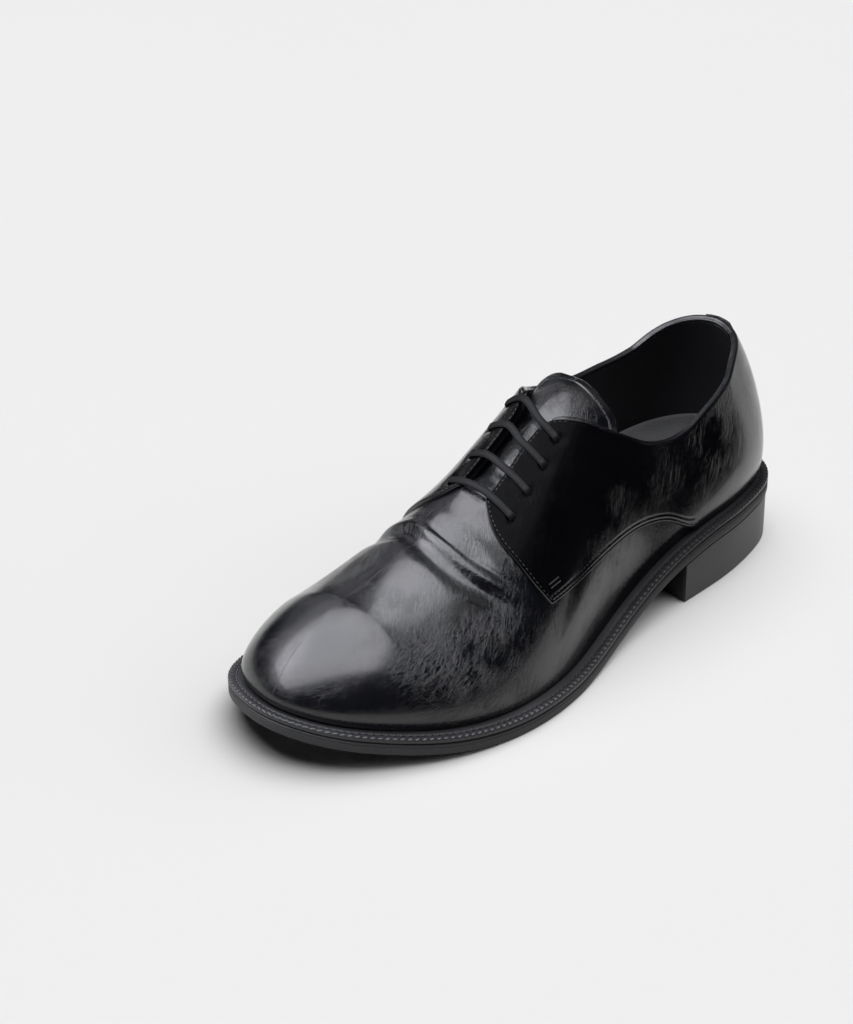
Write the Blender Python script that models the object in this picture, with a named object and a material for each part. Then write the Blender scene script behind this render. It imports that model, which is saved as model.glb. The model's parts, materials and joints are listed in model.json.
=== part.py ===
# A left derby shoe, standing empty on its heel and forefoot.
# Metres. +Z is up, the toe points along -Y and the outer side of the foot is +X.
# The sole's outline and the sections of the last give every form: the shells of the upper
# are all offsets of one surface, which runs from the welt up to the ridge of the foot.

from collections import namedtuple
from math import cos, pi, radians, sin

import bmesh
import bpy
import numpy as np
from mathutils import Matrix, Vector

# Driving sizes of the sole
SOLE_LENGTH = 0.300
BALL_WIDTH = 0.1165
HEEL_WIDTH = 0.078
HEEL_LENGTH = 0.0915
HEEL_HEIGHT = 0.0230
HEEL_INSET = 0.0006
HEEL_BEVEL = 0.0008
BREAST_HOLLOW = 0.0035
TOE_SPRING = 0.0146
OUTSOLE_THICKNESS = 0.0055
OUTSOLE_GROOVE = 0.0009
OUTSOLE_BEVEL = 0.0008
WELT_THICKNESS = 0.0022
WELT_BEVEL = 0.0005
WELT_REVEAL = 0.0066
INSOLE_THICKNESS = 0.0045

# Driving sizes of the upper
INSTEP_RISE = 0.0872
WALL_BULGE = 0.0026
HEEL_PIVOT_IN = 0.050
TOE_PIVOT_IN = 0.046
TOE_EASE = 0.008
UPPER_WALL = 0.0020
QUARTER_LEATHER = 0.0013
BACKSTAY_LEATHER = 0.0010
BACKSTAY_WIDTH = 0.019
TONGUE_LEATHER = 0.0020
TONGUE_DROP = 0.017
BINDING_HEIGHT = 0.0024
EYELET_HOLE = 0.0042
LACE_WIDTH = 0.0032
LACE_THICKNESS = 0.0011

# Pieces that meet stay this far apart; the quarters, whose edges cross the faces of the upper, lie higher
CLEARANCE = 0.0003
QUARTER_LIFT = 1.5 * CLEARANCE

# How steeply the ridge falls ahead of the toe's pivot, and where the wall's bulge is fullest
TOE_FALL_RATIO = 0.25
BULGE_AT_SHARE = 0.25

# Where the tread changes, as shares of the sole's length from the heel's back
SEAT_END_SHARE = 0.203
BALL_START_SHARE = 0.611
BALL_END_SHARE = 0.700

# Fineness of the meshes
OUTLINE_STEPS = 240
SOLE_LEVELS = 34
HEEL_LEVELS = 14
HEEL_FAN_STEPS = 8
SIDE_STEPS = 22
TOE_FAN_STEPS = 8
FOOT_STEPS = 4
QUARTER_STEPS = 8
TONGUE_STEPS = 6
TONGUE_ROW_COUNT = 15
BREAST_STEPS = 180
EYELET_STEPS = 10
BINDING_STEPS = 8
LACE_LEG_STEPS = 4

# Points and stations that lie closer than this are the same
SAME_RATIO = 1e-6

# The chamfer of the lace's edges, as a share of half its thickness
LACE_CORNER_RATIO = 0.35

# Where the lace lies flat on the quarter, as a share of the way from the eyelet to the throat
LEG_START_RATIO = 0.22

OUTER = 1
INNER = -1

# The sole's outline. "along" is a share of the sole's length from the heel's back; outer and inner are the
# distances from the heel's axis as shares of the width that the row follows.
OutlineRow = namedtuple("OutlineRow", "along width outer inner")
OUTLINE_ROWS = (
    OutlineRow(0.00, HEEL_WIDTH, 0.000, 0.000),
    OutlineRow(0.02, HEEL_WIDTH, 0.242, 0.249),
    OutlineRow(0.06, HEEL_WIDTH, 0.378, 0.388),
    OutlineRow(0.12, HEEL_WIDTH, 0.458, 0.469),
    OutlineRow(0.20, HEEL_WIDTH, 0.510, 0.491),
    OutlineRow(0.30, HEEL_WIDTH, 0.526, 0.479),
    OutlineRow(0.40, BALL_WIDTH, 0.368, 0.318),
    OutlineRow(0.50, BALL_WIDTH, 0.415, 0.354),
    OutlineRow(0.60, BALL_WIDTH, 0.476, 0.428),
    OutlineRow(0.68, BALL_WIDTH, 0.500, 0.494),
    OutlineRow(0.76, BALL_WIDTH, 0.481, 0.521),
    OutlineRow(0.84, BALL_WIDTH, 0.415, 0.510),
    OutlineRow(0.91, BALL_WIDTH, 0.304, 0.446),
    OutlineRow(0.96, BALL_WIDTH, 0.192, 0.350),
    OutlineRow(0.99, BALL_WIDTH, 0.065, 0.206),
    OutlineRow(1.00, BALL_WIDTH, -0.062, 0.062),
)

# The sections of the upper. Station 0 is the back of the heel, 0.2 the side of the heel, 0.8 the side of
# the toe box and 1 the toe's front; the sections turn about a pivot at the heel and at the toe and stand
# across the foot between them. "rise" is the ridge above the welt as a share of the instep's rise, crown
# and wall are the powers of the section's round, "bulge" is a share of the wall's bulge, and "lean" is
# the ridge's offset as a share of the ball's width.
SectionRow = namedtuple("SectionRow", "station rise crown wall bulge lean")
SECTION_ROWS = (
    SectionRow(0.0, 1.015, 2.30, 1.78, 1.00, 0.000),
    SectionRow(0.1, 1.035, 2.15, 1.72, 1.05, 0.000),
    SectionRow(0.2, 1.085, 2.40, 1.67, 1.05, -0.003),
    SectionRow(0.3, 1.270, 2.65, 1.73, 0.95, -0.006),
    SectionRow(0.4, 1.177, 2.65, 1.85, 0.85, -0.016),
    SectionRow(0.5, 1.000, 2.42, 1.86, 0.77, -0.028),
    SectionRow(0.6, 0.765, 2.12, 1.78, 0.77, -0.054),
    SectionRow(0.7, 0.596, 1.90, 1.80, 0.77, -0.065),
    SectionRow(0.8, 0.472, 1.93, 1.92, 0.77, -0.062),
    SectionRow(0.9, 0.472, 2.03, 2.10, 0.70, -0.062),
    SectionRow(1.0, 0.472, 2.03, 2.20, 0.70, -0.062),
)
HEEL_SIDE_SHARE = 0.2
TOE_SIDE_SHARE = 0.8

# The top edge of the upper: the collar, then the open edge of the throat, as shares of the way up and
# round each section from the welt to the ridge.
TopRow = namedtuple("TopRow", "station outer inner")
TOP_ROWS = (
    TopRow(0.00, 0.550, 0.550),
    TopRow(0.05, 0.530, 0.545),
    TopRow(0.10, 0.495, 0.515),
    TopRow(0.15, 0.440, 0.455),
    TopRow(0.20, 0.365, 0.365),
    TopRow(0.25, 0.280, 0.292),
    TopRow(0.30, 0.225, 0.268),
    TopRow(0.35, 0.250, 0.318),
    TopRow(0.40, 0.360, 0.425),
    TopRow(0.44, 0.520, 0.580),
    TopRow(0.47, 0.700, 0.780),
    TopRow(0.49, 0.810, 0.920),
    TopRow(0.52, 0.850, 0.955),
    TopRow(0.55, 0.850, 0.955),
    TopRow(0.58, 0.845, 0.955),
    TopRow(0.60, 0.845, 0.955),
)
THROAT_END_SHARE = 0.600
FRONT_BLEND_SHARE = 0.52
BINDING_OUTER_SHARE = 0.487
BINDING_INNER_SHARE = 0.470

# The front edge of the quarters: the station that it passes at each share of its way up from the corner.
FrontRow = namedtuple("FrontRow", "way station")
FRONT_ROWS = (
    FrontRow(0.00, 0.600),
    FrontRow(0.20, 0.611),
    FrontRow(0.45, 0.617),
    FrontRow(0.65, 0.618),
    FrontRow(0.82, 0.611),
    FrontRow(1.00, 0.594),
)

# The lower edge of the quarters, as a share of the way up each section; the heel part reaches the welt.
LowRow = namedtuple("LowRow", "station share")
LOW_ROWS = (
    LowRow(0.00, 0.000),
    LowRow(0.25, 0.000),
    LowRow(0.30, 0.006),
    LowRow(0.35, 0.052),
    LowRow(0.40, 0.098),
    LowRow(0.48, 0.175),
    LowRow(0.56, 0.262),
    LowRow(0.64, 0.345),
)

# The eyelets, top pair first: station and share of the way round the section on each side.
EyeletRow = namedtuple("EyeletRow", "outer_station outer_share inner_station inner_share")
EYELET_ROWS = (
    EyeletRow(0.497, 0.715, 0.484, 0.735),
    EyeletRow(0.525, 0.695, 0.517, 0.770),
    EyeletRow(0.556, 0.690, 0.553, 0.805),
    EyeletRow(0.588, 0.680, 0.590, 0.825),
)

# The lace's bend out of an eyelet: shares of the hole's width towards the throat, and of the height at which
# it runs over the quarter.
BendRow = namedtuple("BendRow", "run height")
BEND_ROWS = (
    BendRow(0.00, 0.55),
    BendRow(0.07, 0.82),
    BendRow(0.26, 1.00),
)

# The tongue: how far it reaches round each side, and how much of its drop it takes at the middle.
TongueRow = namedtuple("TongueRow", "station share drop")
TONGUE_ROWS = (
    TongueRow(0.400, 0.560, 1.00),
    TongueRow(0.425, 0.575, 0.62),
    TongueRow(0.455, 0.600, 0.27),
    TongueRow(0.490, 0.620, 0.05),
    TongueRow(0.530, 0.620, 0.00),
    TongueRow(0.580, 0.640, 0.00),
    TongueRow(0.640, 0.680, 0.00),
)


# Curves through the rows of a table


def column(rows, name):
    return np.array([getattr(row, name) for row in rows])


def spline(knots, values):
    """A smooth curve through the values, its slopes those of the neighbouring knots."""
    slopes = np.gradient(values, knots)

    def at(where):
        where = min(max(where, knots[0]), knots[-1])
        k = min(max(int(np.searchsorted(knots, where)) - 1, 0), len(knots) - 2)
        span = knots[k + 1] - knots[k]
        s = (where - knots[k]) / span
        rise = values[k + 1] - values[k]
        bend_in = slopes[k] * span - rise
        bend_out = rise - slopes[k + 1] * span
        return float(values[k] + rise * s + s * (1 - s) * (bend_in * (1 - s) + bend_out * s))

    return at


def closed_spline(points, count):
    """A closed curve with steady curvature through the points, as count points."""
    points = np.array(points)
    spacing_power = 0.7
    spans = np.linalg.norm(np.roll(points, -1, 0) - points, axis=1) ** spacing_power
    size = len(points)
    matrix = np.zeros((size, size))
    right = np.zeros((size, 2))
    for k in range(size):
        before, after = spans[k - 1], spans[k]
        matrix[k, k - 1] = before
        matrix[k, k] = 2 * (before + after)
        matrix[k, (k + 1) % size] = after
        rise = (points[(k + 1) % size] - points[k]) / after
        fall = (points[k] - points[k - 1]) / before
        right[k] = 6 * (rise - fall)
    bends = np.linalg.solve(matrix, right)
    starts = np.concatenate([[0], np.cumsum(spans)])
    curve = []
    for where in np.linspace(0, starts[-1], count, endpoint=False):
        k = min(int(np.searchsorted(starts, where, side="right")) - 1, size - 1)
        after, b = spans[k], where - starts[k]
        a = after - b
        following = (k + 1) % size
        curve.append(
            (points[k] * a + points[following] * b) / after
            + (a**3 / after - a * after) * bends[k] / 6
            + (b**3 / after - b * after) * bends[following] / 6
        )
    return np.array(curve)


def outline_points():
    """The sole's outline from above, from the heel's back along the outer side to the toe and back."""
    y = SOLE_LENGTH / 2 - column(OUTLINE_ROWS, "along") * SOLE_LENGTH
    outer = column(OUTLINE_ROWS, "width") * column(OUTLINE_ROWS, "outer")
    inner = -column(OUTLINE_ROWS, "width") * column(OUTLINE_ROWS, "inner")
    forth = [(a, b) for a, b in zip(outer, y)]
    back = [(a, b) for a, b in zip(inner[-2:0:-1], y[-2:0:-1])]
    return closed_spline(forth + back, OUTLINE_STEPS)


def inset(curve, distance):
    """The closed curve moved inwards by the distance."""
    along = np.roll(curve, -1, 0) - np.roll(curve, 1, 0)
    inward = np.stack([along[:, 1], -along[:, 0]], 1)
    inward /= np.linalg.norm(inward, axis=1)[:, None]
    return curve + inward * distance


OUTLINE = outline_points()
FEATHER_LINE = inset(OUTLINE, WELT_REVEAL)


# The tread and the layers of the sole


def tread_height(y):
    """Height of the outsole's underside: heel seat, waist, flat ball and toe spring."""
    along = (SOLE_LENGTH / 2 - y) / SOLE_LENGTH
    fall = min(max((along - SEAT_END_SHARE) / (BALL_START_SHARE - SEAT_END_SHARE), 0), 1)
    spring = min(max((along - BALL_END_SHARE) / (1 - BALL_END_SHARE), 0), 1)
    return HEEL_HEIGHT * (1 - fall * fall * (3 - 2 * fall)) + TOE_SPRING * spring**2


def welt_bottom(y):
    return tread_height(y) + OUTSOLE_THICKNESS + CLEARANCE


def welt_top(y):
    return welt_bottom(y) + WELT_THICKNESS


def upper_foot(y):
    return welt_top(y) + CLEARANCE


# The surface of the last, outside of the vamp

RISE = spline(column(SECTION_ROWS, "station"), column(SECTION_ROWS, "rise") * INSTEP_RISE)
CROWN = spline(column(SECTION_ROWS, "station"), column(SECTION_ROWS, "crown"))
WALL = spline(column(SECTION_ROWS, "station"), column(SECTION_ROWS, "wall"))
BULGE = spline(column(SECTION_ROWS, "station"), column(SECTION_ROWS, "bulge") * WALL_BULGE)
LEAN = spline(column(SECTION_ROWS, "station"), column(SECTION_ROWS, "lean") * BALL_WIDTH)
HEEL_PIVOT = SOLE_LENGTH / 2 - HEEL_PIVOT_IN
TOE_PIVOT = TOE_PIVOT_IN - SOLE_LENGTH / 2


def pivot(station):
    """The point in plan that a section springs from."""
    way = min(max((station - HEEL_SIDE_SHARE) / (TOE_SIDE_SHARE - HEEL_SIDE_SHARE), 0), 1)
    y = HEEL_PIVOT + way * (TOE_PIVOT - HEEL_PIVOT)
    return np.array([LEAN(min(max(station, HEEL_SIDE_SHARE), TOE_SIDE_SHARE)), y])


def heading(station, side):
    """The direction in plan in which a section runs out."""
    if station < HEEL_SIDE_SHARE:
        turn = station / HEEL_SIDE_SHARE * pi / 2
        return np.array([side * sin(turn), cos(turn)])
    turn = max(station - TOE_SIDE_SHARE, 0) / (1 - TOE_SIDE_SHARE) * pi / 2
    return np.array([side * cos(turn), -sin(turn)])


def reach(start, way, curve):
    """How far the closed curve lies from a point inside it, in one direction."""
    here = curve - start
    there = np.roll(curve, -1, 0) - start
    turn_here = here[:, 0] * way[1] - here[:, 1] * way[0]
    turn_there = there[:, 0] * way[1] - there[:, 1] * way[0]
    crossing = np.where((turn_here * turn_there <= 0) & (turn_here != turn_there))[0]
    part = turn_here[crossing] / (turn_here[crossing] - turn_there[crossing])
    met = here[crossing] + part[:, None] * (there[crossing] - here[crossing])
    return float((met @ way).max())


def toe_fall(ahead):
    """How far the ridge has fallen at a distance ahead of the toe's pivot."""
    return TOE_FALL_RATIO * ahead**2 / (ahead + TOE_EASE)


known_sections = {}


def section(station, side):
    key = (round(station, 6), side)
    if key not in known_sections:
        start = pivot(station)
        way = heading(station, side)
        known_sections[key] = (start, way, reach(start, way, FEATHER_LINE))
    return known_sections[key]


def last_point(station, side, share):
    """A point of the surface: share 0 is at the welt and 1 on the ridge."""
    start, way, out = section(station, side)
    base = upper_foot(start[1] + out * way[1])
    crest = upper_foot(start[1]) + RISE(min(station, TOE_SIDE_SHARE))
    turn = share * pi / 2
    up = sin(turn) ** (2 / CROWN(station))
    swell = BULGE(station) * up / BULGE_AT_SHARE * np.exp(1 - up / BULGE_AT_SHARE) * (1 - up)
    run = out * max(cos(turn), 0.0) ** (2 / WALL(station)) + swell
    height = base + (crest - base) * up
    if station > TOE_SIDE_SHARE:
        height -= toe_fall(-run * way[1]) * up
    return Vector((start[0] + run * way[0], start[1] + run * way[1], height))


def one_sided_normal(station, side, share):
    step = 0.004
    low, high = max(share - step, 0.0), min(share + step, 1.0)
    rear, front = max(station - step, 0.0), min(station + step, 1.0)
    up = last_point(station, side, high) - last_point(station, side, low)
    if rear == 0.0:
        along = last_point(front, side, share) - last_point(front, -side, share)
    elif front == 1.0:
        along = last_point(rear, -side, share) - last_point(rear, side, share)
    else:
        along = last_point(front, side, share) - last_point(rear, side, share)
    return (along.cross(up) * -side).normalized()


def last_normal(station, side, share):
    """The outward direction of the surface; on the ridge both sides share it."""
    near_ridge = 0.97
    own = one_sided_normal(station, side, min(share, near_ridge))
    if share <= near_ridge:
        return own
    crest_station = min(station, TOE_SIDE_SHARE)
    both = one_sided_normal(crest_station, side, near_ridge) + one_sided_normal(crest_station, -side, near_ridge)
    return own.lerp(both.normalized(), (share - near_ridge) / (1 - near_ridge)).normalized()


def lifted(station, side, share, height):
    """A point over or under the surface, and never below the foot of the upper."""
    point = last_point(station, side, share) + last_normal(station, side, share) * height
    point.z = max(point.z, upper_foot(point.y))
    return point


def top_share(station, side):
    return TOP_OUTER(station) if side == OUTER else TOP_INNER(station)


TOP_OUTER = spline(column(TOP_ROWS, "station"), column(TOP_ROWS, "outer"))
TOP_INNER = spline(column(TOP_ROWS, "station"), column(TOP_ROWS, "inner"))
FRONT = spline(column(FRONT_ROWS, "way"), column(FRONT_ROWS, "station"))
LOW = spline(column(LOW_ROWS, "station"), column(LOW_ROWS, "share"))
TONGUE_SHARE = spline(column(TONGUE_ROWS, "station"), column(TONGUE_ROWS, "share"))
TONGUE_FALL = spline(column(TONGUE_ROWS, "station"), column(TONGUE_ROWS, "drop") * TONGUE_DROP)


# Meshes and materials


def clear_scene():
    for thing in list(bpy.data.objects):
        bpy.data.objects.remove(thing)


def material(name, colour, roughness):
    made = bpy.data.materials.new(name)
    made.use_nodes = True
    shader = made.node_tree.nodes["Principled BSDF"]
    shader.inputs["Base Color"].default_value = (*colour, 1)
    shader.inputs["Roughness"].default_value = roughness
    shader.inputs["Metallic"].default_value = 0.0
    return made


def place(name, points, faces, finish, parent, crease=40):
    """One object from points and faces; faces may name a point twice, and points may coincide."""
    build = bmesh.new()
    made = [build.verts.new(point) for point in points]
    for face in faces:
        corners = [made[k] for k in face]
        build.faces.new(corners)
    bmesh.ops.remove_doubles(build, verts=build.verts, dist=SAME_RATIO)
    bmesh.ops.dissolve_degenerate(build, edges=build.edges, dist=SAME_RATIO)
    mesh = bpy.data.meshes.new(name)
    build.to_mesh(mesh)
    build.free()
    mesh.shade_smooth()
    mesh.set_sharp_from_angle(angle=radians(crease))
    mesh.materials.append(finish)
    thing = bpy.data.objects.new(name, mesh)
    bpy.context.scene.collection.objects.link(thing)
    thing.parent = parent
    return thing


def ring_faces(rings, count, closed_tube=False):
    """Quads between successive rings of count points each."""
    faces = []
    spans = rings if closed_tube else rings - 1
    for ring in range(spans):
        low, high = ring * count, (ring + 1) % rings * count
        for k in range(count):
            following = (k + 1) % count
            faces.append((low + k, low + following, high + following, high + k))
    return faces


def end_faces(rings, count):
    """The two faces that close a tube of rings."""
    last = (rings - 1) * count
    return [tuple(range(count))[::-1], tuple(last + k for k in range(count))]


def levels(curve, count, front=None):
    """The curve as a ring of points in pairs, one outer and one inner, at levels along the foot.

    The ring starts at the front, runs back along the outer side and forward along the inner side.
    With no front given the curve's own tip is one point."""
    y_low, y_high = curve[:, 1].min(), curve[:, 1].max()
    toe, heel = int(curve[:, 1].argmin()), int(curve[:, 1].argmax())
    turned = np.roll(curve, -heel, 0)
    split = (toe - heel) % len(curve)
    outer = turned[: split + 1]
    inner = np.vstack([turned[split:], turned[:1]])
    if front is None:
        spots = y_low + (y_high - y_low) * (1 - np.cos(np.linspace(0, pi, count + 1))) / 2
    else:
        spots = front + (y_high - front) * np.sin(np.linspace(0, pi / 2, count + 1))
    x_outer = np.interp(spots, outer[::-1, 1], outer[::-1, 0])
    x_inner = np.interp(spots, inner[:, 1], inner[:, 0])
    ring = [(x, y) for x, y in zip(x_outer, spots)]
    ring += [(x, y) for x, y in zip(x_inner[-2::-1], spots[-2::-1])]
    return ring if front is not None else ring[:-1]


def plate(name, rings, finish, parent, crease=40):
    """A closed body from rings of levels, the lowest first, capped with strips across the foot."""
    count = len(rings[0])
    points = [point for ring in rings for point in ring]
    faces = ring_faces(len(rings), count)
    for base, flip in ((0, True), ((len(rings) - 1) * count, False)):
        for k in range(count // 2):
            a, b = base + k, base + k + 1
            c, d = base + (-k - 1) % count, base + (-k) % count
            if count % 2:
                c, d = base + count - 2 - k, base + count - 1 - k
            strip = (a, b, c, d)
            faces.append(strip[::-1] if flip else strip)
    cleaned = [tuple(dict.fromkeys(face)) for face in faces]
    return place(name, points, [face for face in cleaned if len(face) > 2], finish, parent, crease)


def raised(ring, height):
    return [(x, y, height(y)) for x, y in ring]


def shell(name, grid, finish, parent):
    """A closed shell from a grid of (low point, high point) pairs."""
    rows, across = len(grid), len(grid[0])
    points = [pair[0] for row in grid for pair in row] + [pair[1] for row in grid for pair in row]
    lift = rows * across
    faces = []
    for r in range(rows - 1):
        for k in range(across - 1):
            a = r * across + k
            quad = (a, a + 1, a + across + 1, a + across)
            faces.append(quad)
            faces.append(tuple(lift + corner for corner in quad[::-1]))
    rim = [k for k in range(across)]
    rim += [r * across + across - 1 for r in range(1, rows)]
    rim += [(rows - 1) * across + k for k in range(across - 2, -1, -1)]
    rim += [r * across for r in range(rows - 2, 0, -1)]
    for a, b in zip(rim, rim[1:] + rim[:1]):
        faces.append((b, a, lift + a, lift + b))
    return place(name, points, faces, finish, parent, crease=50)


def face_outwards(thing):
    """Turns a closed mesh the right way out."""
    build = bmesh.new()
    build.from_mesh(thing.data)
    if build.calc_volume(signed=True) < 0:
        bmesh.ops.reverse_faces(build, faces=build.faces)
    build.to_mesh(thing.data)
    build.free()
    return thing


# The sole


def make_outsole(finish, parent):
    full = levels(OUTLINE, SOLE_LEVELS)
    groove = levels(inset(OUTLINE, OUTSOLE_GROOVE), SOLE_LEVELS)
    bevel = levels(inset(OUTLINE, OUTSOLE_BEVEL), SOLE_LEVELS)
    groove_low = OUTSOLE_THICKNESS - OUTSOLE_GROOVE

    rings = [
        raised(bevel, tread_height),
        raised(full, lambda y: tread_height(y) + OUTSOLE_BEVEL),
        raised(full, lambda y: tread_height(y) + groove_low),
        raised(groove, lambda y: tread_height(y) + OUTSOLE_THICKNESS),
    ]
    return face_outwards(plate("outsole", rings, finish, parent))


def make_heel(finish, parent):
    breast = SOLE_LENGTH / 2 - HEEL_LENGTH
    front = breast - BREAST_HOLLOW
    full = levels(inset(OUTLINE, HEEL_INSET), HEEL_LEVELS, front)
    bevel = levels(inset(OUTLINE, HEEL_INSET + HEEL_BEVEL), HEEL_LEVELS, front)
    rings = [
        raised(bevel, lambda y: 0.0),
        raised(full, lambda y: HEEL_BEVEL),
        raised(full, lambda y: tread_height(y) - CLEARANCE),
    ]
    heel = face_outwards(plate("heel", rings, finish, parent))
    half = HEEL_WIDTH / 2
    radius = (half**2 + BREAST_HOLLOW**2) / (2 * BREAST_HOLLOW)
    bpy.ops.mesh.primitive_cylinder_add(
        vertices=BREAST_STEPS,
        radius=radius,
        depth=2 * HEEL_HEIGHT,
        location=(0, breast + BREAST_HOLLOW - radius, HEEL_HEIGHT / 2),
    )
    cutter = bpy.context.object
    cutter.name = "breast_cutter"
    cutter.parent = parent
    cut_with(heel, cutter)
    return heel


def cut_with(thing, cutter):
    cutter.hide_render = True
    cutter.display_type = "WIRE"
    cut = thing.modifiers.new(cutter.name, "BOOLEAN")
    cut.operation = "DIFFERENCE"
    cut.solver = "EXACT"
    cut.object = cutter


def make_welt(finish, parent):
    full = levels(OUTLINE, SOLE_LEVELS)
    worn = levels(inset(OUTLINE, WELT_BEVEL), SOLE_LEVELS)
    inside = levels(inset(OUTLINE, WELT_REVEAL + UPPER_WALL), SOLE_LEVELS)
    rings = [
        raised(inside, welt_bottom),
        raised(full, welt_bottom),
        raised(full, lambda y: welt_top(y) - WELT_BEVEL),
        raised(worn, welt_top),
        raised(inside, welt_top),
    ]
    count = len(full)
    points = [point for ring in rings for point in ring]
    faces = ring_faces(len(rings), count, closed_tube=True)
    return face_outwards(place("welt", points, faces, finish, parent))


def make_insole(finish, parent):
    edge = inset(OUTLINE, WELT_REVEAL + UPPER_WALL + 2 * CLEARANCE)
    ring = levels(edge, SOLE_LEVELS)
    rings = [raised(ring, welt_bottom), raised(ring, lambda y: welt_bottom(y) + INSOLE_THICKNESS)]
    return face_outwards(plate("insole", rings, finish, parent))


# The upper


def stations():
    heel = np.linspace(0, HEEL_SIDE_SHARE, HEEL_FAN_STEPS + 1)[:-1]
    middle = np.linspace(HEEL_SIDE_SHARE, TOE_SIDE_SHARE, SIDE_STEPS + 1)[:-1]
    toe = np.linspace(TOE_SIDE_SHARE, 1, TOE_FAN_STEPS + 1)
    return np.concatenate([heel, middle, toe])


def throat_stations():
    """The stations, with the one nearest the throat's end moved onto it."""
    found = stations()
    found[int(np.abs(found - THROAT_END_SHARE).argmin())] = THROAT_END_SHARE
    return found


def quarter_shares(station, side):
    """The levels from the quarter's lower edge to the top edge, or to the ridge ahead of the throat."""
    low = max(LOW(station), 0.0)
    top = top_share(station, side) if station < THROAT_END_SHARE - SAME_RATIO else 1.0
    return [low + (top - low) * k / QUARTER_STEPS for k in range(QUARTER_STEPS + 1)]


def wall_pair(station, side, share):
    """The outside and the inside of the wall, which are level with each other at the foot."""
    point = last_point(station, side, share)
    out = last_normal(station, side, share)
    out.z *= min((point.z - upper_foot(point.y)) / UPPER_WALL, 1.0)
    inside = point - out.normalized() * UPPER_WALL
    inside.z = max(inside.z, upper_foot(inside.y))
    return point, inside


def make_upper(finish, parent):
    """The hollow shell: vamp and lined body, open at the collar, the throat and underneath."""
    spots = throat_stations()
    across = FOOT_STEPS + QUARTER_STEPS + 1
    lift = 2 * len(spots) * across
    pairs, faces = [], []
    for side in (OUTER, INNER):
        start = len(pairs)
        for station in spots:
            shares = quarter_shares(station, side)
            foot = [shares[0] * k / FOOT_STEPS for k in range(FOOT_STEPS)]
            pairs += [wall_pair(station, side, share) for share in foot + shares]
        own = []
        for s, station in enumerate(spots[:-1]):
            low = start + s * across
            top = low + across - 1
            for a in range(low, top):
                quad = (a, a + 1, a + across + 1, a + across)
                own += [quad, tuple(lift + corner for corner in quad[::-1])]
            own.append((low, low + across, low + across + lift, low + lift))
            if station < THROAT_END_SHARE - SAME_RATIO:
                own.append((top + across, top, top + lift, top + across + lift))
        faces += own if side == OUTER else [(face[0],) + face[:0:-1] for face in own]
    points = [pair[0] for pair in pairs] + [pair[1] for pair in pairs]
    return face_outwards(place("upper", points, faces, finish, parent))


def quarter_grid(side, low_height, high_height):
    """Pairs of points over the quarter, from the back seam to its front edge."""
    spots = [station for station in throat_stations() if station < THROAT_END_SHARE + SAME_RATIO]
    grid = []
    for station in spots:
        near_front = max(station - FRONT_BLEND_SHARE, 0) / (THROAT_END_SHARE - FRONT_BLEND_SHARE)
        row = []
        for k, share in enumerate(quarter_shares(min(station, THROAT_END_SHARE - 2 * SAME_RATIO), side)):
            shift = (FRONT(k / QUARTER_STEPS) - THROAT_END_SHARE) * near_front**2
            low = lifted(station + shift, side, share, low_height)
            high = lifted(station + shift, side, share, high_height)
            if station == 0:
                low.x += side * CLEARANCE / 2
                high.x += side * CLEARANCE / 2
            row.append((low, high))
        grid.append(row)
    return grid


def make_quarter(name, side, finish, parent):
    grid = quarter_grid(side, QUARTER_LIFT, QUARTER_LIFT + QUARTER_LEATHER)
    return face_outwards(shell(name, grid, finish, parent))


def make_backstay(finish, parent):
    """A strip down the back seam, over both quarters."""
    low = QUARTER_LIFT + QUARTER_LEATHER + CLEARANCE
    grid = []
    reach_out = section(0.0, OUTER)[2]
    turn = BACKSTAY_WIDTH / 2 / reach_out
    edge = turn / (pi / 2) * HEEL_SIDE_SHARE
    for part in (-1, -0.5, 0, 0.5, 1):
        side = OUTER if part >= 0 else INNER
        station = abs(part) * edge
        row = []
        for share in quarter_shares(station, side):
            row.append(
                (
                    lifted(station, side, share, low),
                    lifted(station, side, share, low + BACKSTAY_LEATHER),
                )
            )
        grid.append(row)
    return face_outwards(shell("backstay", grid, finish, parent))


def collar_path():
    """Stations and sides along the collar, from the outer corner of the throat round the heel."""
    forth = [(station, OUTER) for station in stations() if 0 < station < BINDING_OUTER_SHARE]
    back = [(station, INNER) for station in stations() if station < BINDING_INNER_SHARE]
    return [(BINDING_OUTER_SHARE, OUTER)] + forth[::-1] + back + [(BINDING_INNER_SHARE, INNER)]


def make_binding(finish, parent):
    """The rolled edge that rides on the top of the upper and the quarters."""
    stack = UPPER_WALL + QUARTER_LIFT + QUARTER_LEATHER
    middle = QUARTER_LIFT + QUARTER_LEATHER - stack / 2
    half_wide, half_high = (stack - CLEARANCE) / 2, BINDING_HEIGHT / 2
    points = []
    path = collar_path()
    edge = [last_point(station, side, top_share(station, side)) for station, side in path]
    for k, (station, side) in enumerate(path):
        share = top_share(station, side)
        out = last_normal(station, side, share)
        along = edge[min(k + 1, len(edge) - 1)] - edge[max(k - 1, 0)]
        up = along.cross(out).normalized()
        if up.dot(last_point(station, side, (share + 1) / 2) - edge[k]) < 0:
            up.negate()
        centre = edge[k] + out * middle + up * (half_high + 2 * CLEARANCE)
        for corner in range(BINDING_STEPS):
            turn = 2 * pi * corner / BINDING_STEPS
            points.append(centre + out * half_wide * cos(turn) + up * half_high * sin(turn))
    faces = ring_faces(len(path), BINDING_STEPS)
    faces += end_faces(len(path), BINDING_STEPS)
    return face_outwards(place("collar_binding", points, faces, finish, parent))


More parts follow.
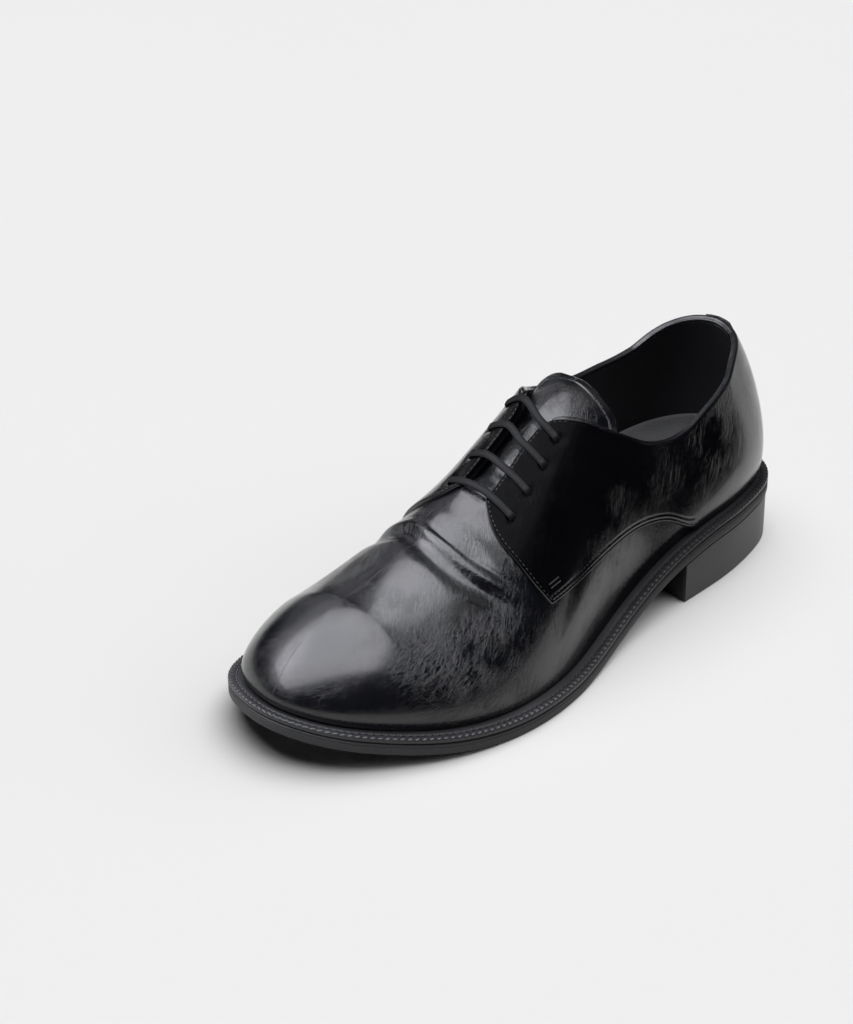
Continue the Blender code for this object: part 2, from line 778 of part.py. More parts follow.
def make_tongue(finish, parent):
    """A leather tongue from under the vamp to above the top eyelets, flatter at its free end."""
    outside = -UPPER_WALL - 4 * CLEARANCE
    spots = np.linspace(TONGUE_ROWS[0].station, TONGUE_ROWS[-1].station, TONGUE_ROW_COUNT)
    half = TONGUE_STEPS
    grid = []
    for station in spots:
        edge = TONGUE_SHARE(station)
        row = []
        for k in range(-half, half + 1):
            side = OUTER if k < 0 else INNER
            middle = 1 - abs(k) / half
            share = edge + (1 - edge) * middle
            fall = Vector((0, 0, -TONGUE_FALL(station) * (1 - (1 - middle) ** 2)))
            high = lifted(station, side, share, outside) + fall
            low = lifted(station, side, share, outside - TONGUE_LEATHER) + fall
            row.append((low, high))
        grid.append(row)
    return face_outwards(shell("tongue", grid, finish, parent))


# Eyelets and lace


def eyelet(row, side):
    station = row.outer_station if side == OUTER else row.inner_station
    share = row.outer_share if side == OUTER else row.inner_share
    return last_point(station, side, share), last_normal(station, side, share)


def punch_eyelets(upper, quarters, parent):
    depth = 2 * (UPPER_WALL + QUARTER_LIFT + QUARTER_LEATHER + 2 * EYELET_HOLE)
    for number, row in enumerate(EYELET_ROWS, 1):
        for side, quarter in quarters.items():
            point, out = eyelet(row, side)
            bpy.ops.mesh.primitive_cylinder_add(vertices=EYELET_STEPS, radius=EYELET_HOLE / 2, depth=depth)
            cutter = bpy.context.object
            cutter.name = f"eyelet_cutter_{'outer' if side == OUTER else 'inner'}_{number}"
            turn = out.to_track_quat("Z", "Y").to_matrix().to_4x4()
            cutter.matrix_world = Matrix.Translation(point) @ turn
            cutter.parent = parent
            cut_with(upper, cutter)
            cut_with(quarter, cutter)


def way_forward(station, side, share):
    """The direction along the foot at a point of the surface."""
    step = 0.005
    return (last_point(station + step, side, share) - last_point(station - step, side, share)).normalized()


def lace_leg(row, side):
    """Half of one bar, as points with the lace's broad direction there: up through the eyelet,
    over its edge and along the quarter to the throat."""
    point, out = eyelet(row, side)
    station = row.outer_station if side == OUTER else row.inner_station
    share = row.outer_share if side == OUTER else row.inner_share
    over = QUARTER_LIFT + QUARTER_LEATHER + CLEARANCE + LACE_THICKNESS / 2
    edge = top_share(station, side)
    ahead = last_point(station, side, edge) - point
    inward = (ahead - out * ahead.dot(out)).normalized()
    wide = out.cross(inward).normalized() * side
    path = [(point - out * UPPER_WALL, wide)]
    path += [(point + inward * row.run * EYELET_HOLE + out * row.height * over, wide) for row in BEND_ROWS]
    first = share + (edge - share) * LEG_START_RATIO
    for k in range(LACE_LEG_STEPS + 1):
        here = first + (edge - first) * k / LACE_LEG_STEPS
        path.append((lifted(station, side, here, over), way_forward(station, side, here)))
    return path


def lace_path(row):
    """The middle of one bar, from the outer eyelet across the throat to the inner one."""
    forth, back = lace_leg(row, OUTER), lace_leg(row, INNER)[::-1]
    middle = (forth[-1][0] + back[0][0]) / 2 + Vector((0, 0, LACE_THICKNESS / 2))
    wide = (forth[-1][1] + back[0][1]).normalized()
    return forth + [(middle, wide)] + back


def make_lace(number, row, finish, parent):
    path = lace_path(row)
    half_wide, half_thick = LACE_WIDTH / 2, LACE_THICKNESS / 2
    corner = LACE_CORNER_RATIO * half_thick
    profile = (
        (-half_wide, -half_thick + corner),
        (-half_wide + corner, -half_thick),
        (half_wide - corner, -half_thick),
        (half_wide, -half_thick + corner),
        (half_wide, half_thick - corner),
        (half_wide - corner, half_thick),
        (-half_wide + corner, half_thick),
        (-half_wide, half_thick - corner),
    )
    points = []
    for k, (point, wide) in enumerate(path):
        along = path[min(k + 1, len(path) - 1)][0] - path[max(k - 1, 0)][0]
        along.normalize()
        broad = (wide - along * wide.dot(along)).normalized()
        thick = broad.cross(along)
        for a, b in profile:
            points.append(point + broad * a + thick * b)
    count = len(profile)
    faces = ring_faces(len(path), count)
    faces += end_faces(len(path), count)
    return face_outwards(place(f"lace_{number}", points, faces, finish, parent, crease=60))


def main():
    clear_scene()
    shoe = bpy.data.objects.new("derby_shoe", None)
    shoe.location.x = -(OUTLINE[:, 0].min() + OUTLINE[:, 0].max()) / 2
    bpy.context.scene.collection.objects.link(shoe)

    leather = material("polished leather", (0.012, 0.012, 0.014), 0.28)
    rubber = material("matte rubber", (0.020, 0.020, 0.022), 0.62)
    heel_finish = material("satin heel", (0.018, 0.018, 0.020), 0.45)
    welt_finish = material("waxed welt", (0.016, 0.016, 0.017), 0.50)
    suede = material("brushed sock", (0.030, 0.030, 0.032), 0.90)
    cord = material("waxed cotton", (0.014, 0.014, 0.015), 0.60)

    make_outsole(rubber, shoe)
    make_heel(heel_finish, shoe)
    make_welt(welt_finish, shoe)
    make_insole(suede, shoe)
    upper = make_upper(leather, shoe)
    quarters = {
        OUTER: make_quarter("quarter_outer", OUTER, leather, shoe),
        INNER: make_quarter("quarter_inner", INNER, leather, shoe),
    }
    make_backstay(leather, shoe)
    make_binding(leather, shoe)
    make_tongue(leather, shoe)
    punch_eyelets(upper, quarters, shoe)
    for number, row in enumerate(EYELET_ROWS, 1):
        make_lace(number, row, cord, shoe)


main()
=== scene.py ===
import json
from math import cos, pi, radians, sin

import bmesh
import bpy
import numpy as np
from mathutils import Matrix, Vector

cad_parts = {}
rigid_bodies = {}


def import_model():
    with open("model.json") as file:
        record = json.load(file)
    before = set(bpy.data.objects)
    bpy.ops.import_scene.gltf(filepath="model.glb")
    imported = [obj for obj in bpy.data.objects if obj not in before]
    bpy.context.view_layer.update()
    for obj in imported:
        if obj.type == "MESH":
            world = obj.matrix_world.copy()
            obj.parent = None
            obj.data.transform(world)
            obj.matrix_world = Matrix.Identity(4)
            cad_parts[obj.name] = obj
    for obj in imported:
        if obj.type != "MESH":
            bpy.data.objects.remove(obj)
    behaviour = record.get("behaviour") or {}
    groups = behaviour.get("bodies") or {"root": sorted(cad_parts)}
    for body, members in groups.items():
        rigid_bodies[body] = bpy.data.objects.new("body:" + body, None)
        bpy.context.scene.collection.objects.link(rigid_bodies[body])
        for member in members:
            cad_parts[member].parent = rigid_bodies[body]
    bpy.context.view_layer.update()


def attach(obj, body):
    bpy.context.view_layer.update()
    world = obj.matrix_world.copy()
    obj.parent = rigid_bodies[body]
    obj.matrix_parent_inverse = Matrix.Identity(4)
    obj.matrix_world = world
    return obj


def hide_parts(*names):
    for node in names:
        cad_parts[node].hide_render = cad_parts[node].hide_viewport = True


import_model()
mm = 0.001
outer, inner = 1, -1
footLength, girthSpan = 0.34, 0.10  # what a full station and a full share count for in metres

# The last and the sole. A station runs from 0 at the heel to 1 at the toe,
# a share from 0 at the welt to 1 on the ridge of the foot.

soleSizes = {  # metres, and shares of the length
    "length": 0.300,
    "ballWidth": 0.1165,
    "heelWidth": 0.078,
    "heelLength": 0.0915,
    "heelHeight": 0.0230,
    "breastHollow": 0.0035,
    "toeSpring": 0.0146,
    "outsole": 0.0055,
    "welt": 0.0022,
    "reveal": 0.0066,
    "clear": 0.0003,
    "seatEnd": 0.203,
    "ballStart": 0.611,
    "ballEnd": 0.700,
}

# along the sole from the heel's back, which width counts, outer share, inner share
outlineRows = [
    (0.00, "heelWidth", 0.000, 0.000),
    (0.02, "heelWidth", 0.242, 0.249),
    (0.06, "heelWidth", 0.378, 0.388),
    (0.12, "heelWidth", 0.458, 0.469),
    (0.20, "heelWidth", 0.510, 0.491),
    (0.30, "heelWidth", 0.526, 0.479),
    (0.40, "ballWidth", 0.368, 0.318),
    (0.50, "ballWidth", 0.415, 0.354),
    (0.60, "ballWidth", 0.476, 0.428),
    (0.68, "ballWidth", 0.500, 0.494),
    (0.76, "ballWidth", 0.481, 0.521),
    (0.84, "ballWidth", 0.415, 0.510),
    (0.91, "ballWidth", 0.304, 0.446),
    (0.96, "ballWidth", 0.192, 0.350),
    (0.99, "ballWidth", 0.065, 0.206),
    (1.00, "ballWidth", -0.062, 0.062),
]

lastSizes = {
    "instepRise": 0.0872,
    "wallBulge": 0.0026,
    "heelPivotIn": 0.050,
    "toePivotIn": 0.046,
    "toeFall": 0.25,
    "toeEase": 0.008,
    "heelSide": 0.2,
    "toeSide": 0.8,
    "bulgeAt": 0.25,
    "wall": 0.0020,
    "throatEnd": 0.600,
    "frontBlend": 0.52,
}

# station, rise, crown, wall, bulge, lean
sectionRows = [
    (0.0, 1.015, 2.30, 1.78, 1.00, 0.000),
    (0.1, 1.035, 2.15, 1.72, 1.05, 0.000),
    (0.2, 1.085, 2.40, 1.67, 1.05, -0.003),
    (0.3, 1.270, 2.65, 1.73, 0.95, -0.006),
    (0.4, 1.177, 2.65, 1.85, 0.85, -0.016),
    (0.5, 1.000, 2.42, 1.86, 0.77, -0.028),
    (0.6, 0.765, 2.12, 1.78, 0.77, -0.054),
    (0.7, 0.596, 1.90, 1.80, 0.77, -0.065),
    (0.8, 0.472, 1.93, 1.92, 0.77, -0.062),
    (0.9, 0.472, 2.03, 2.10, 0.70, -0.062),
    (1.0, 0.472, 2.03, 2.20, 0.70, -0.062),
]

# station, outer share, inner share of the top edge
topRows = [
    (0.00, 0.550, 0.550),
    (0.05, 0.530, 0.545),
    (0.10, 0.495, 0.515),
    (0.15, 0.440, 0.455),
    (0.20, 0.365, 0.365),
    (0.25, 0.280, 0.292),
    (0.30, 0.225, 0.268),
    (0.35, 0.250, 0.318),
    (0.40, 0.360, 0.425),
    (0.44, 0.520, 0.580),
    (0.47, 0.700, 0.780),
    (0.49, 0.810, 0.920),
    (0.52, 0.850, 0.955),
    (0.55, 0.850, 0.955),
    (0.58, 0.845, 0.955),
    (0.60, 0.845, 0.955),
]

frontRows = [(0.00, 0.600), (0.20, 0.611), (0.45, 0.617), (0.65, 0.618), (0.82, 0.611), (1.00, 0.594)]
lowRows = [
    (0.00, 0.0),
    (0.25, 0.0),
    (0.30, 0.006),
    (0.35, 0.052),
    (0.40, 0.098),
    (0.48, 0.175),
    (0.56, 0.262),
    (0.64, 0.345),
]

# outer station and share, inner station and share, the top pair first
eyeletRows = [
    (0.497, 0.715, 0.484, 0.735),
    (0.525, 0.695, 0.517, 0.770),
    (0.556, 0.690, 0.553, 0.805),
    (0.588, 0.680, 0.590, 0.825),
]


def throughRows(knots, values):
    # a smooth curve through a few values, level beyond both ends
    knots, values = np.array(knots, float), np.array(values, float)
    slopes = np.gradient(values, knots)

    def at(where):
        where = np.clip(where, knots[0], knots[-1])
        k = np.clip(np.searchsorted(knots, where) - 1, 0, len(knots) - 2)
        span = knots[k + 1] - knots[k]
        s = (where - knots[k]) / span
        rise = values[k + 1] - values[k]
        bendIn = slopes[k] * span - rise
        bendOut = rise - slopes[k + 1] * span
        return values[k] + rise * s + s * (1 - s) * (bendIn * (1 - s) + bendOut * s)

    return at


def runAlong(path):
    # the distance run along a line of points
    return np.concatenate([[0], np.cumsum(np.linalg.norm(np.diff(path, axis=0), axis=1))])


def roundCurve(points, count):
    # the same steady closed curve as the part's outline, only finer
    points = np.array(points)
    spans = np.linalg.norm(np.roll(points, -1, 0) - points, axis=1) ** 0.7
    size = len(points)
    matrix, right = np.zeros((size, size)), np.zeros((size, 2))
    for k in range(size):
        before, after = spans[k - 1], spans[k]
        matrix[k, k - 1], matrix[k, k], matrix[k, (k + 1) % size] = before, 2 * (before + after), after
        right[k] = 6 * ((points[(k + 1) % size] - points[k]) / after - (points[k] - points[k - 1]) / before)
    bends = np.linalg.solve(matrix, right)
    starts = np.concatenate([[0], np.cumsum(spans)])
    where = np.linspace(0, starts[-1], count, endpoint=False)
    k = np.clip(np.searchsorted(starts, where, side="right") - 1, 0, size - 1)
    after, b = spans[k][:, None], (where - starts[k])[:, None]
    a, following = after - b, (k + 1) % size
    curve = (points[k] * a + points[following] * b) / after
    bent = (a**3 / after - a * after) * bends[k] + (b**3 / after - b * after) * bends[following]
    return curve + bent / 6


def soleOutline(count):
    y = [soleSizes["length"] * (0.5 - row[0]) for row in outlineRows]
    forth = [(soleSizes[row[1]] * row[2], v) for row, v in zip(outlineRows, y)]
    back = [(-soleSizes[row[1]] * row[3], v) for row, v in zip(outlineRows, y)][-2:0:-1]
    return roundCurve(forth + back, count)


def inwards(curve):
    along = np.roll(curve, -1, 0) - np.roll(curve, 1, 0)
    way = np.stack([along[:, 1], -along[:, 0]], 1)
    return way / np.linalg.norm(way, axis=1)[:, None]


roughOutline = soleOutline(240)
xShift = -(roughOutline[:, 0].min() + roughOutline[:, 0].max()) / 2
fineOutline = soleOutline(1440)
featherLine = fineOutline + inwards(fineOutline) * soleSizes["reveal"]


def treadHeight(y):
    along = 0.5 - y / soleSizes["length"]
    fall = np.clip((along - soleSizes["seatEnd"]) / (soleSizes["ballStart"] - soleSizes["seatEnd"]), 0, 1)
    spring = np.clip((along - soleSizes["ballEnd"]) / (1 - soleSizes["ballEnd"]), 0, 1)
    return soleSizes["heelHeight"] * (1 - fall * fall * (3 - 2 * fall)) + soleSizes["toeSpring"] * spring**2


def weltBottom(y):
    return treadHeight(y) + soleSizes["outsole"] + soleSizes["clear"]


def weltTop(y):
    return weltBottom(y) + soleSizes["welt"]


def upperFoot(y):
    return weltTop(y) + soleSizes["clear"]


stationKnots = [row[0] for row in sectionRows]
riseAt = throughRows(stationKnots, [row[1] * lastSizes["instepRise"] for row in sectionRows])
crownAt = throughRows(stationKnots, [row[2] for row in sectionRows])
wallAt = throughRows(stationKnots, [row[3] for row in sectionRows])
bulgeAt = throughRows(stationKnots, [row[4] * lastSizes["wallBulge"] for row in sectionRows])
leanAt = throughRows(stationKnots, [row[5] * soleSizes["ballWidth"] for row in sectionRows])
waistStraight = throughRows(
    [0.0, 0.18, 0.28, 0.40, 0.55, 0.68, 0.80, 1.0],
    [1.0, 1.0, 0.3, -0.9, -0.9, -0.2, 0.8, 1.0],
)
topOuter = throughRows([row[0] for row in topRows], [row[1] for row in topRows])
topInner = throughRows([row[0] for row in topRows], [row[2] for row in topRows])
frontAt = throughRows([row[0] for row in frontRows], [row[1] for row in frontRows])
lowAt = throughRows([row[0] for row in lowRows], [row[1] for row in lowRows])
heelPivot = soleSizes["length"] / 2 - lastSizes["heelPivotIn"]
toePivot = lastSizes["toePivotIn"] - soleSizes["length"] / 2


def topShare(station, side):
    return np.where(np.asarray(side) > 0, topOuter(station), topInner(station))


def headingAt(station, side):
    heelTurn = np.clip(station / lastSizes["heelSide"], 0, 1) * pi / 2
    toeTurn = np.clip((station - lastSizes["toeSide"]) / (1 - lastSizes["toeSide"]), 0, 1) * pi / 2
    atHeel = station < lastSizes["heelSide"]
    x = np.where(atHeel, np.sin(heelTurn), np.cos(toeTurn)) * side
    return x, np.where(atHeel, np.cos(heelTurn), -np.sin(toeTurn))


def pivotAt(station):
    heelSide, toeSide = lastSizes["heelSide"], lastSizes["toeSide"]
    way = np.clip((station - heelSide) / (toeSide - heelSide), 0, 1)
    return leanAt(np.clip(station, heelSide, toeSide)), heelPivot + way * (toePivot - heelPivot)


def reachTable(side, stations):
    # how far each pivot is from the feather line on one side
    found = []
    for station in stations:
        px, py = pivotAt(station)
        wx, wy = headingAt(station, side)
        here = featherLine - (px, py)
        there = np.roll(here, -1, 0)
        turnHere = here[:, 0] * wy - here[:, 1] * wx
        turnThere = there[:, 0] * wy - there[:, 1] * wx
        k = np.where(turnHere * turnThere <= 0)[0]
        part = turnHere[k] / (turnHere[k] - turnThere[k] + 1e-15)
        met = here[k] + part[:, None] * (there[k] - here[k])
        found.append((met[:, 0] * wx + met[:, 1] * wy).max())
    return np.array(found)


tableStations = np.linspace(0, 1, 1001)
reaches = {side: reachTable(side, tableStations) for side in (outer, inner)}


def lastPoint(station, side, share):
    # a point of the last: share 0 at the welt, 1 on the ridge; past the ridge it comes down the other side
    station, side, share = (np.array(v, float) for v in np.broadcast_arrays(station, side, share))
    over = share > 1
    share = np.where(over, 2 - share, share)
    side = np.where(over, -side, side)
    behind = station < 0
    station = np.abs(station)
    side = np.where(behind, -side, side)
    ahead = station > 1
    station = np.where(ahead, 2 - station, station)
    side = np.where(ahead, -side, side)
    px, py = pivotAt(station)
    wx, wy = headingAt(station, side)
    out = np.where(
        side > 0,
        np.interp(station, tableStations, reaches[outer]),
        np.interp(station, tableStations, reaches[inner]),
    )
    base = upperFoot(py + out * wy)
    crest = upperFoot(py) + riseAt(np.minimum(station, lastSizes["toeSide"]))
    turn = np.clip(share, 0, 1) * pi / 2
    up = np.sin(turn) ** (2 / crownAt(station))
    swell = bulgeAt(station) * up / lastSizes["bulgeAt"] * np.exp(1 - up / lastSizes["bulgeAt"]) * (1 - up)
    swell = swell * np.where(side > 0, waistStraight(station), 1.0)
    run = out * np.maximum(np.cos(turn), 0) ** (2 / wallAt(station)) + swell
    height = base + (crest - base) * up
    ahead = np.maximum(-run * wy, 0) * (station > lastSizes["toeSide"])
    height = height - lastSizes["toeFall"] * ahead**2 / (ahead + lastSizes["toeEase"]) * up
    return np.stack([px + run * wx + xShift, py + run * wy, height], -1)


def lastNormal(station, side, share):
    step = 0.004
    low = np.maximum(np.asarray(share, float) - step, 0)
    up = lastPoint(station, side, np.asarray(share) + step) - lastPoint(station, side, low)
    ahead, behind = np.asarray(station) + step, np.asarray(station) - step
    along = lastPoint(ahead, side, share) - lastPoint(behind, side, share)
    found = np.cross(along, up) * -np.asarray(side, float)[..., None]
    return found / np.maximum(np.linalg.norm(found, axis=-1), 1e-12)[..., None]


# Soft folds in the leather: a row of (station, side, share), half width and lift at the middle in mm
folds = {
    "flexRidge": {
        "path": [
            (0.640, inner, 0.36),
            (0.652, inner, 0.62),
            (0.655, inner, 0.85),
            (0.667, outer, 0.85),
            (0.665, outer, 0.675),
            (0.650, outer, 0.519),
            (0.632, outer, 0.388),
            (0.618, outer, 0.30),
        ],
        "wide": 2.4,
        "lift": 1.1,
    },
    "flexFlank": {
        "path": [
            (0.657, inner, 0.36),
            (0.668, inner, 0.62),
            (0.671, inner, 0.85),
            (0.683, outer, 0.85),
            (0.681, outer, 0.675),
            (0.666, outer, 0.519),
            (0.648, outer, 0.388),
            (0.634, outer, 0.30),
        ],
        "wide": 4.8,
        "lift": -2.4,
    },
    "flexLine": {
        "path": [
            (0.645, inner, 0.80),
            (0.657, outer, 0.88),
            (0.655, outer, 0.70),
            (0.641, outer, 0.54),
            (0.622, outer, 0.42),
        ],
        "wide": 1.2,
        "lift": -0.6,
    },
    "throatSwell": {
        "path": [
            (0.632, inner, 0.84),
            (0.638, outer, 0.86),
            (0.640, outer, 0.70),
            (0.630, outer, 0.56),
            (0.618, outer, 0.45),
        ],
        "wide": 4.0,
        "lift": 0.7,
    },
    "innerDent": {
        "path": [(0.745, inner, 0.72), (0.735, inner, 0.84), (0.735, inner, 0.96)],
        "wide": 6.5,
        "lift": -0.5,
    },
    "ballValley": {
        "path": [(0.800, outer, 0.86), (0.790, outer, 0.66), (0.775, outer, 0.50), (0.760, outer, 0.36)],
        "wide": 9.0,
        "lift": -0.15,
    },
    "outerPuckerA": {
        "path": [(0.720, outer, 0.42), (0.735, outer, 0.34), (0.748, outer, 0.26)],
        "wide": 2.5,
        "lift": -0.3,
    },
    "outerPuckerB": {
        "path": [(0.705, outer, 0.40), (0.715, outer, 0.30), (0.722, outer, 0.22)],
        "wide": 2.2,
        "lift": 0.3,
    },
}


def foldLine(path, count=140):
    # the fold's row as a fine line on the last, signed shares joined over the ridge
    rows = np.array([(s, w if side > 0 else 2 - w) for s, side, w in path], float)
    spans = runAlong(rows * (3.4, 1.0))
    where = np.linspace(0, spans[-1], count)
    station, across = throughRows(spans, rows[:, 0])(where), throughRows(spans, rows[:, 1])(where)
    return lastPoint(station, outer, across)


foldLines = {name: foldLine(fold["path"]) for name, fold in folds.items()}
foldTaper = 0.22  # the part of its length in which a fold rises from nothing


def foldLift(points):
    flat = points.reshape(-1, 3)
    total = np.zeros(len(flat))
    for name, fold in folds.items():
        line = foldLines[name]
        wide = fold["wide"] * mm
        room = 3 * wide
        near = np.where(np.all((flat > line.min(0) - room) & (flat < line.max(0) + room), axis=1))[0]
        if not len(near):
            continue
        gaps = np.linalg.norm(flat[near][:, None] - line[None], axis=2)
        closest = gaps.argmin(1)
        part = closest / (len(line) - 1)
        taper = np.clip(np.minimum(part, 1 - part) / foldTaper, 0, 1)
        taper = taper * taper * (3 - 2 * taper)
        total[near] += fold["lift"] * mm * taper * np.exp(-((gaps.min(1) / wide) ** 2))
    return total.reshape(points.shape[:-1])


def skinPoint(station, side, share, height):
    # a point over the leather's skin, folds included, never under the foot of the upper
    point = lastPoint(station, side, share)
    normal = lastNormal(station, side, share)
    point = point + normal * (np.asarray(height) + foldLift(point))[..., None]
    point[..., 2] = np.maximum(point[..., 2], upperFoot(point[..., 1]))
    return point


print("last ready")

# Mesh helpers


def makePiece(name, points, faces, materials, faceSlots=None, attributes=None, crease=None, weld=1e-6):
    mesh = bpy.data.meshes.new(name)
    mesh.from_pydata(np.asarray(points, float).tolist(), [], [tuple(int(c) for c in face) for face in faces])
    for key, values in (attributes or {}).items():
        values = np.asarray(values, np.float32)
        kind = "FLOAT_VECTOR" if values.ndim == 2 else "FLOAT"
        made = mesh.attributes.new(key, kind, "POINT")
        made.data.foreach_set("vector" if values.ndim == 2 else "value", values.ravel())
    for finish in materials:
        mesh.materials.append(finish)
    if faceSlots is not None:
        mesh.polygons.foreach_set("material_index", np.asarray(faceSlots, np.int32))
    build = bmesh.new()
    build.from_mesh(mesh)
    if weld:
        bmesh.ops.remove_doubles(build, verts=build.verts, dist=weld)
        bmesh.ops.dissolve_degenerate(build, edges=build.edges, dist=weld)
    bmesh.ops.recalc_face_normals(build, faces=build.faces)
    build.to_mesh(mesh)
    build.free()
    mesh.shade_smooth()
    if crease:
        mesh.set_sharp_from_angle(angle=radians(crease))
    thing = bpy.data.objects.new(name, mesh)
    bpy.context.scene.collection.objects.link(thing)
    return thing


def gridFaces(rows, across, closedRows=False, closedAcross=False, start=0):
    r = np.arange(rows if closedRows else rows - 1)
    k = np.arange(across if closedAcross else across - 1)
    r, k = np.meshgrid(r, k, indexing="ij")
    rNext, kNext = (r + 1) % rows, (k + 1) % across
    quads = np.stack([r * across + k, r * across + kNext, rNext * across + kNext, rNext * across + k], -1)
    return quads.reshape(-1, 4) + start


def shellFaces(rows, across):
    # two layers of the same grid and the rim between them
    low = gridFaces(rows, across)
    high = low[:, ::-1] + rows * across
    rim = list(range(across))
    rim += [r * across + across - 1 for r in range(1, rows)]
    rim += [(rows - 1) * across + k for k in range(across - 2, -1, -1)]
    rim += [r * across for r in range(rows - 2, 0, -1)]
    rim = np.array(rim)
    following = np.roll(rim, -1)
    lift = rows * across
    return np.vstack([low, high, np.stack([following, rim, rim + lift, following + lift], 1)])


def finishPiece(thing, nodes):
    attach(thing, "root")
    if nodes:
        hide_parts(*nodes)
    print("made", thing.name, len(thing.data.polygons), "faces")
    return thing


def distanceSteps(total, fine, middle):
    # places along an edge-to-edge line: fine distances at both ends and even steps between
    fine = np.array(fine)
    inside = np.linspace(fine[-1], total - fine[-1], middle + 2)[1:-1]
    return np.concatenate([fine, inside, total - fine[::-1]]) / total


# Shader groups and materials


def socketsOf(group, ins, outs):
    for name, kind, value in ins:
        made = group.interface.new_socket(name, in_out="INPUT", socket_type=kind)
        if value is not None:
            made.default_value = value
    for name, kind in outs:
        group.interface.new_socket(name, in_out="OUTPUT", socket_type=kind)
    return group.nodes.new("NodeGroupInput"), group.nodes.new("NodeGroupOutput")


class NodeBench:
    # short calls for one node tree
    def __init__(self, tree):
        self.tree = tree

    def add(self, kind, values=None, **settings):
        node = self.tree.nodes.new(kind)
        for key, value in settings.items():
            setattr(node, key, value)
        for key, value in (values or {}).items():
            if isinstance(value, bpy.types.NodeSocket):
                self.tree.links.new(value, node.inputs[key])
            else:
                node.inputs[key].default_value = value
        return node

    def math(self, operation, a, b=0.0, c=None, clamp=False):
        values = {0: a, 1: b}
        if c is not None:
            values[2] = c
        return self.add("ShaderNodeMath", values, operation=operation, use_clamp=clamp).outputs[0]

    def noise(self, vector, scale, detail=4.0, rough=0.55, distort=0.0):
        return self.add(
            "ShaderNodeTexNoise",
            {"Vector": vector, "Scale": scale, "Detail": detail, "Roughness": rough, "Distortion": distort},
        ).outputs["Fac"]

    def span(self, value, lowIn, highIn, lowOut=0.0, highOut=1.0):
        node = self.add(
            "ShaderNodeMapRange",
            {"Value": value, "From Min": lowIn, "From Max": highIn, "To Min": lowOut, "To Max": highOut},
            clamp=True,
        )
        return node.outputs["Result"]

    def mapped(self, vector, scale=(1, 1, 1), turn=(0, 0, 0)):
        return self.add(
            "ShaderNodeMapping",
            {"Vector": vector, "Scale": scale, "Rotation": turn},
        ).outputs["Vector"]

    def mix(self, fac, a, b):
        node = self.add("ShaderNodeMix", data_type="RGBA")
        for key, value in ((0, fac), (6, a), (7, b)):
            if isinstance(value, bpy.types.NodeSocket):
                self.tree.links.new(value, node.inputs[key])
            else:
                node.inputs[key].default_value = value
        return node.outputs[2]


def buildCalfGroup():
    # grain, fine wrinkles and polish of a smooth calf leather
    group = bpy.data.node_groups.new("calf leather", "ShaderNodeTree")
    ins = [
        ("Skin", "NodeSocketVector", None),
        ("Place", "NodeSocketVector", None),
        ("Wrinkle", "NodeSocketFloat", 0.3),
        ("Grain", "NodeSocketFloat", 1.0),
        ("Dark", "NodeSocketColor", (0.006, 0.006, 0.007, 1)),
        ("Light", "NodeSocketColor", (0.014, 0.014, 0.016, 1)),
        ("Gloss Rough", "NodeSocketFloat", 0.27),
    ]
    outs = [("Colour", "NodeSocketColor"), ("Rough", "NodeSocketFloat"), ("Height", "NodeSocketFloat")]
    gin, gout = socketsOf(group, ins, outs)
    b = NodeBench(group)
    skin, place = gin.outputs["Skin"], gin.outputs["Place"]
    broad = b.noise(place, 22.0, 3.0, 0.5)
    patch = b.noise(place, 55.0, 3.0, 0.55)
    pores = b.add(
        "ShaderNodeTexVoronoi",
        {"Vector": place, "Scale": 1500.0},
        feature="DISTANCE_TO_EDGE",
    ).outputs["Distance"]
    pores = b.span(pores, 0.0, 0.16)
    haze = b.noise(place, 2600.0, 2.0, 0.6)
    wrinkles = []
    for turn, scale, seed in ((-0.95, 380.0, 0.0), (-0.5, 520.0, 3.1), (0.5, 460.0, 7.7)):
        moved = b.add("ShaderNodeVectorMath", {0: skin, 1: (seed, seed * 0.7, 0)}, operation="ADD").outputs[0]
        turned = b.mapped(moved, (1, 1, 1), (0, 0, turn))
        stretched = b.mapped(turned, (1.0, 0.3, 1.0))
        line = b.noise(stretched, scale, 3.0, 0.6, 1.2)
        line = b.math("ABSOLUTE", b.math("SUBTRACT", line, 0.5))
        wrinkles.append(b.span(line, 0.0, 0.07, -1.0, 0.0))
    where = b.span(patch, 0.36, 0.62, 0.12, 1.0)
    lines = b.math(
        "MULTIPLY",
        b.math("ADD", wrinkles[0], b.math("ADD", wrinkles[1], b.math("MULTIPLY", wrinkles[2], 0.6))),
        where,
    )
    height = b.math("MULTIPLY", lines, gin.outputs["Wrinkle"])
    grain = b.math("ADD", b.math("MULTIPLY", pores, 0.16), b.math("MULTIPLY", haze, 0.10))
    height = b.math("ADD", height, b.math("MULTIPLY", grain, gin.outputs["Grain"]))
    waves = b.noise(place, 130.0, 2.0, 0.5)
    height = b.math("ADD", height, b.math("MULTIPLY", waves, 0.22))
    colour = b.mix(b.span(broad, 0.3, 0.7), gin.outputs["Dark"], gin.outputs["Light"])
    rough = b.math("ADD", gin.outputs["Gloss Rough"], b.span(patch, 0.3, 0.7, -0.025, 0.035))
    rough = b.math("ADD", rough, b.math("MULTIPLY", haze, 0.03))
    for name, value in (("Colour", colour), ("Rough", rough), ("Height", height)):
        group.links.new(value, gout.inputs[name])
    return group


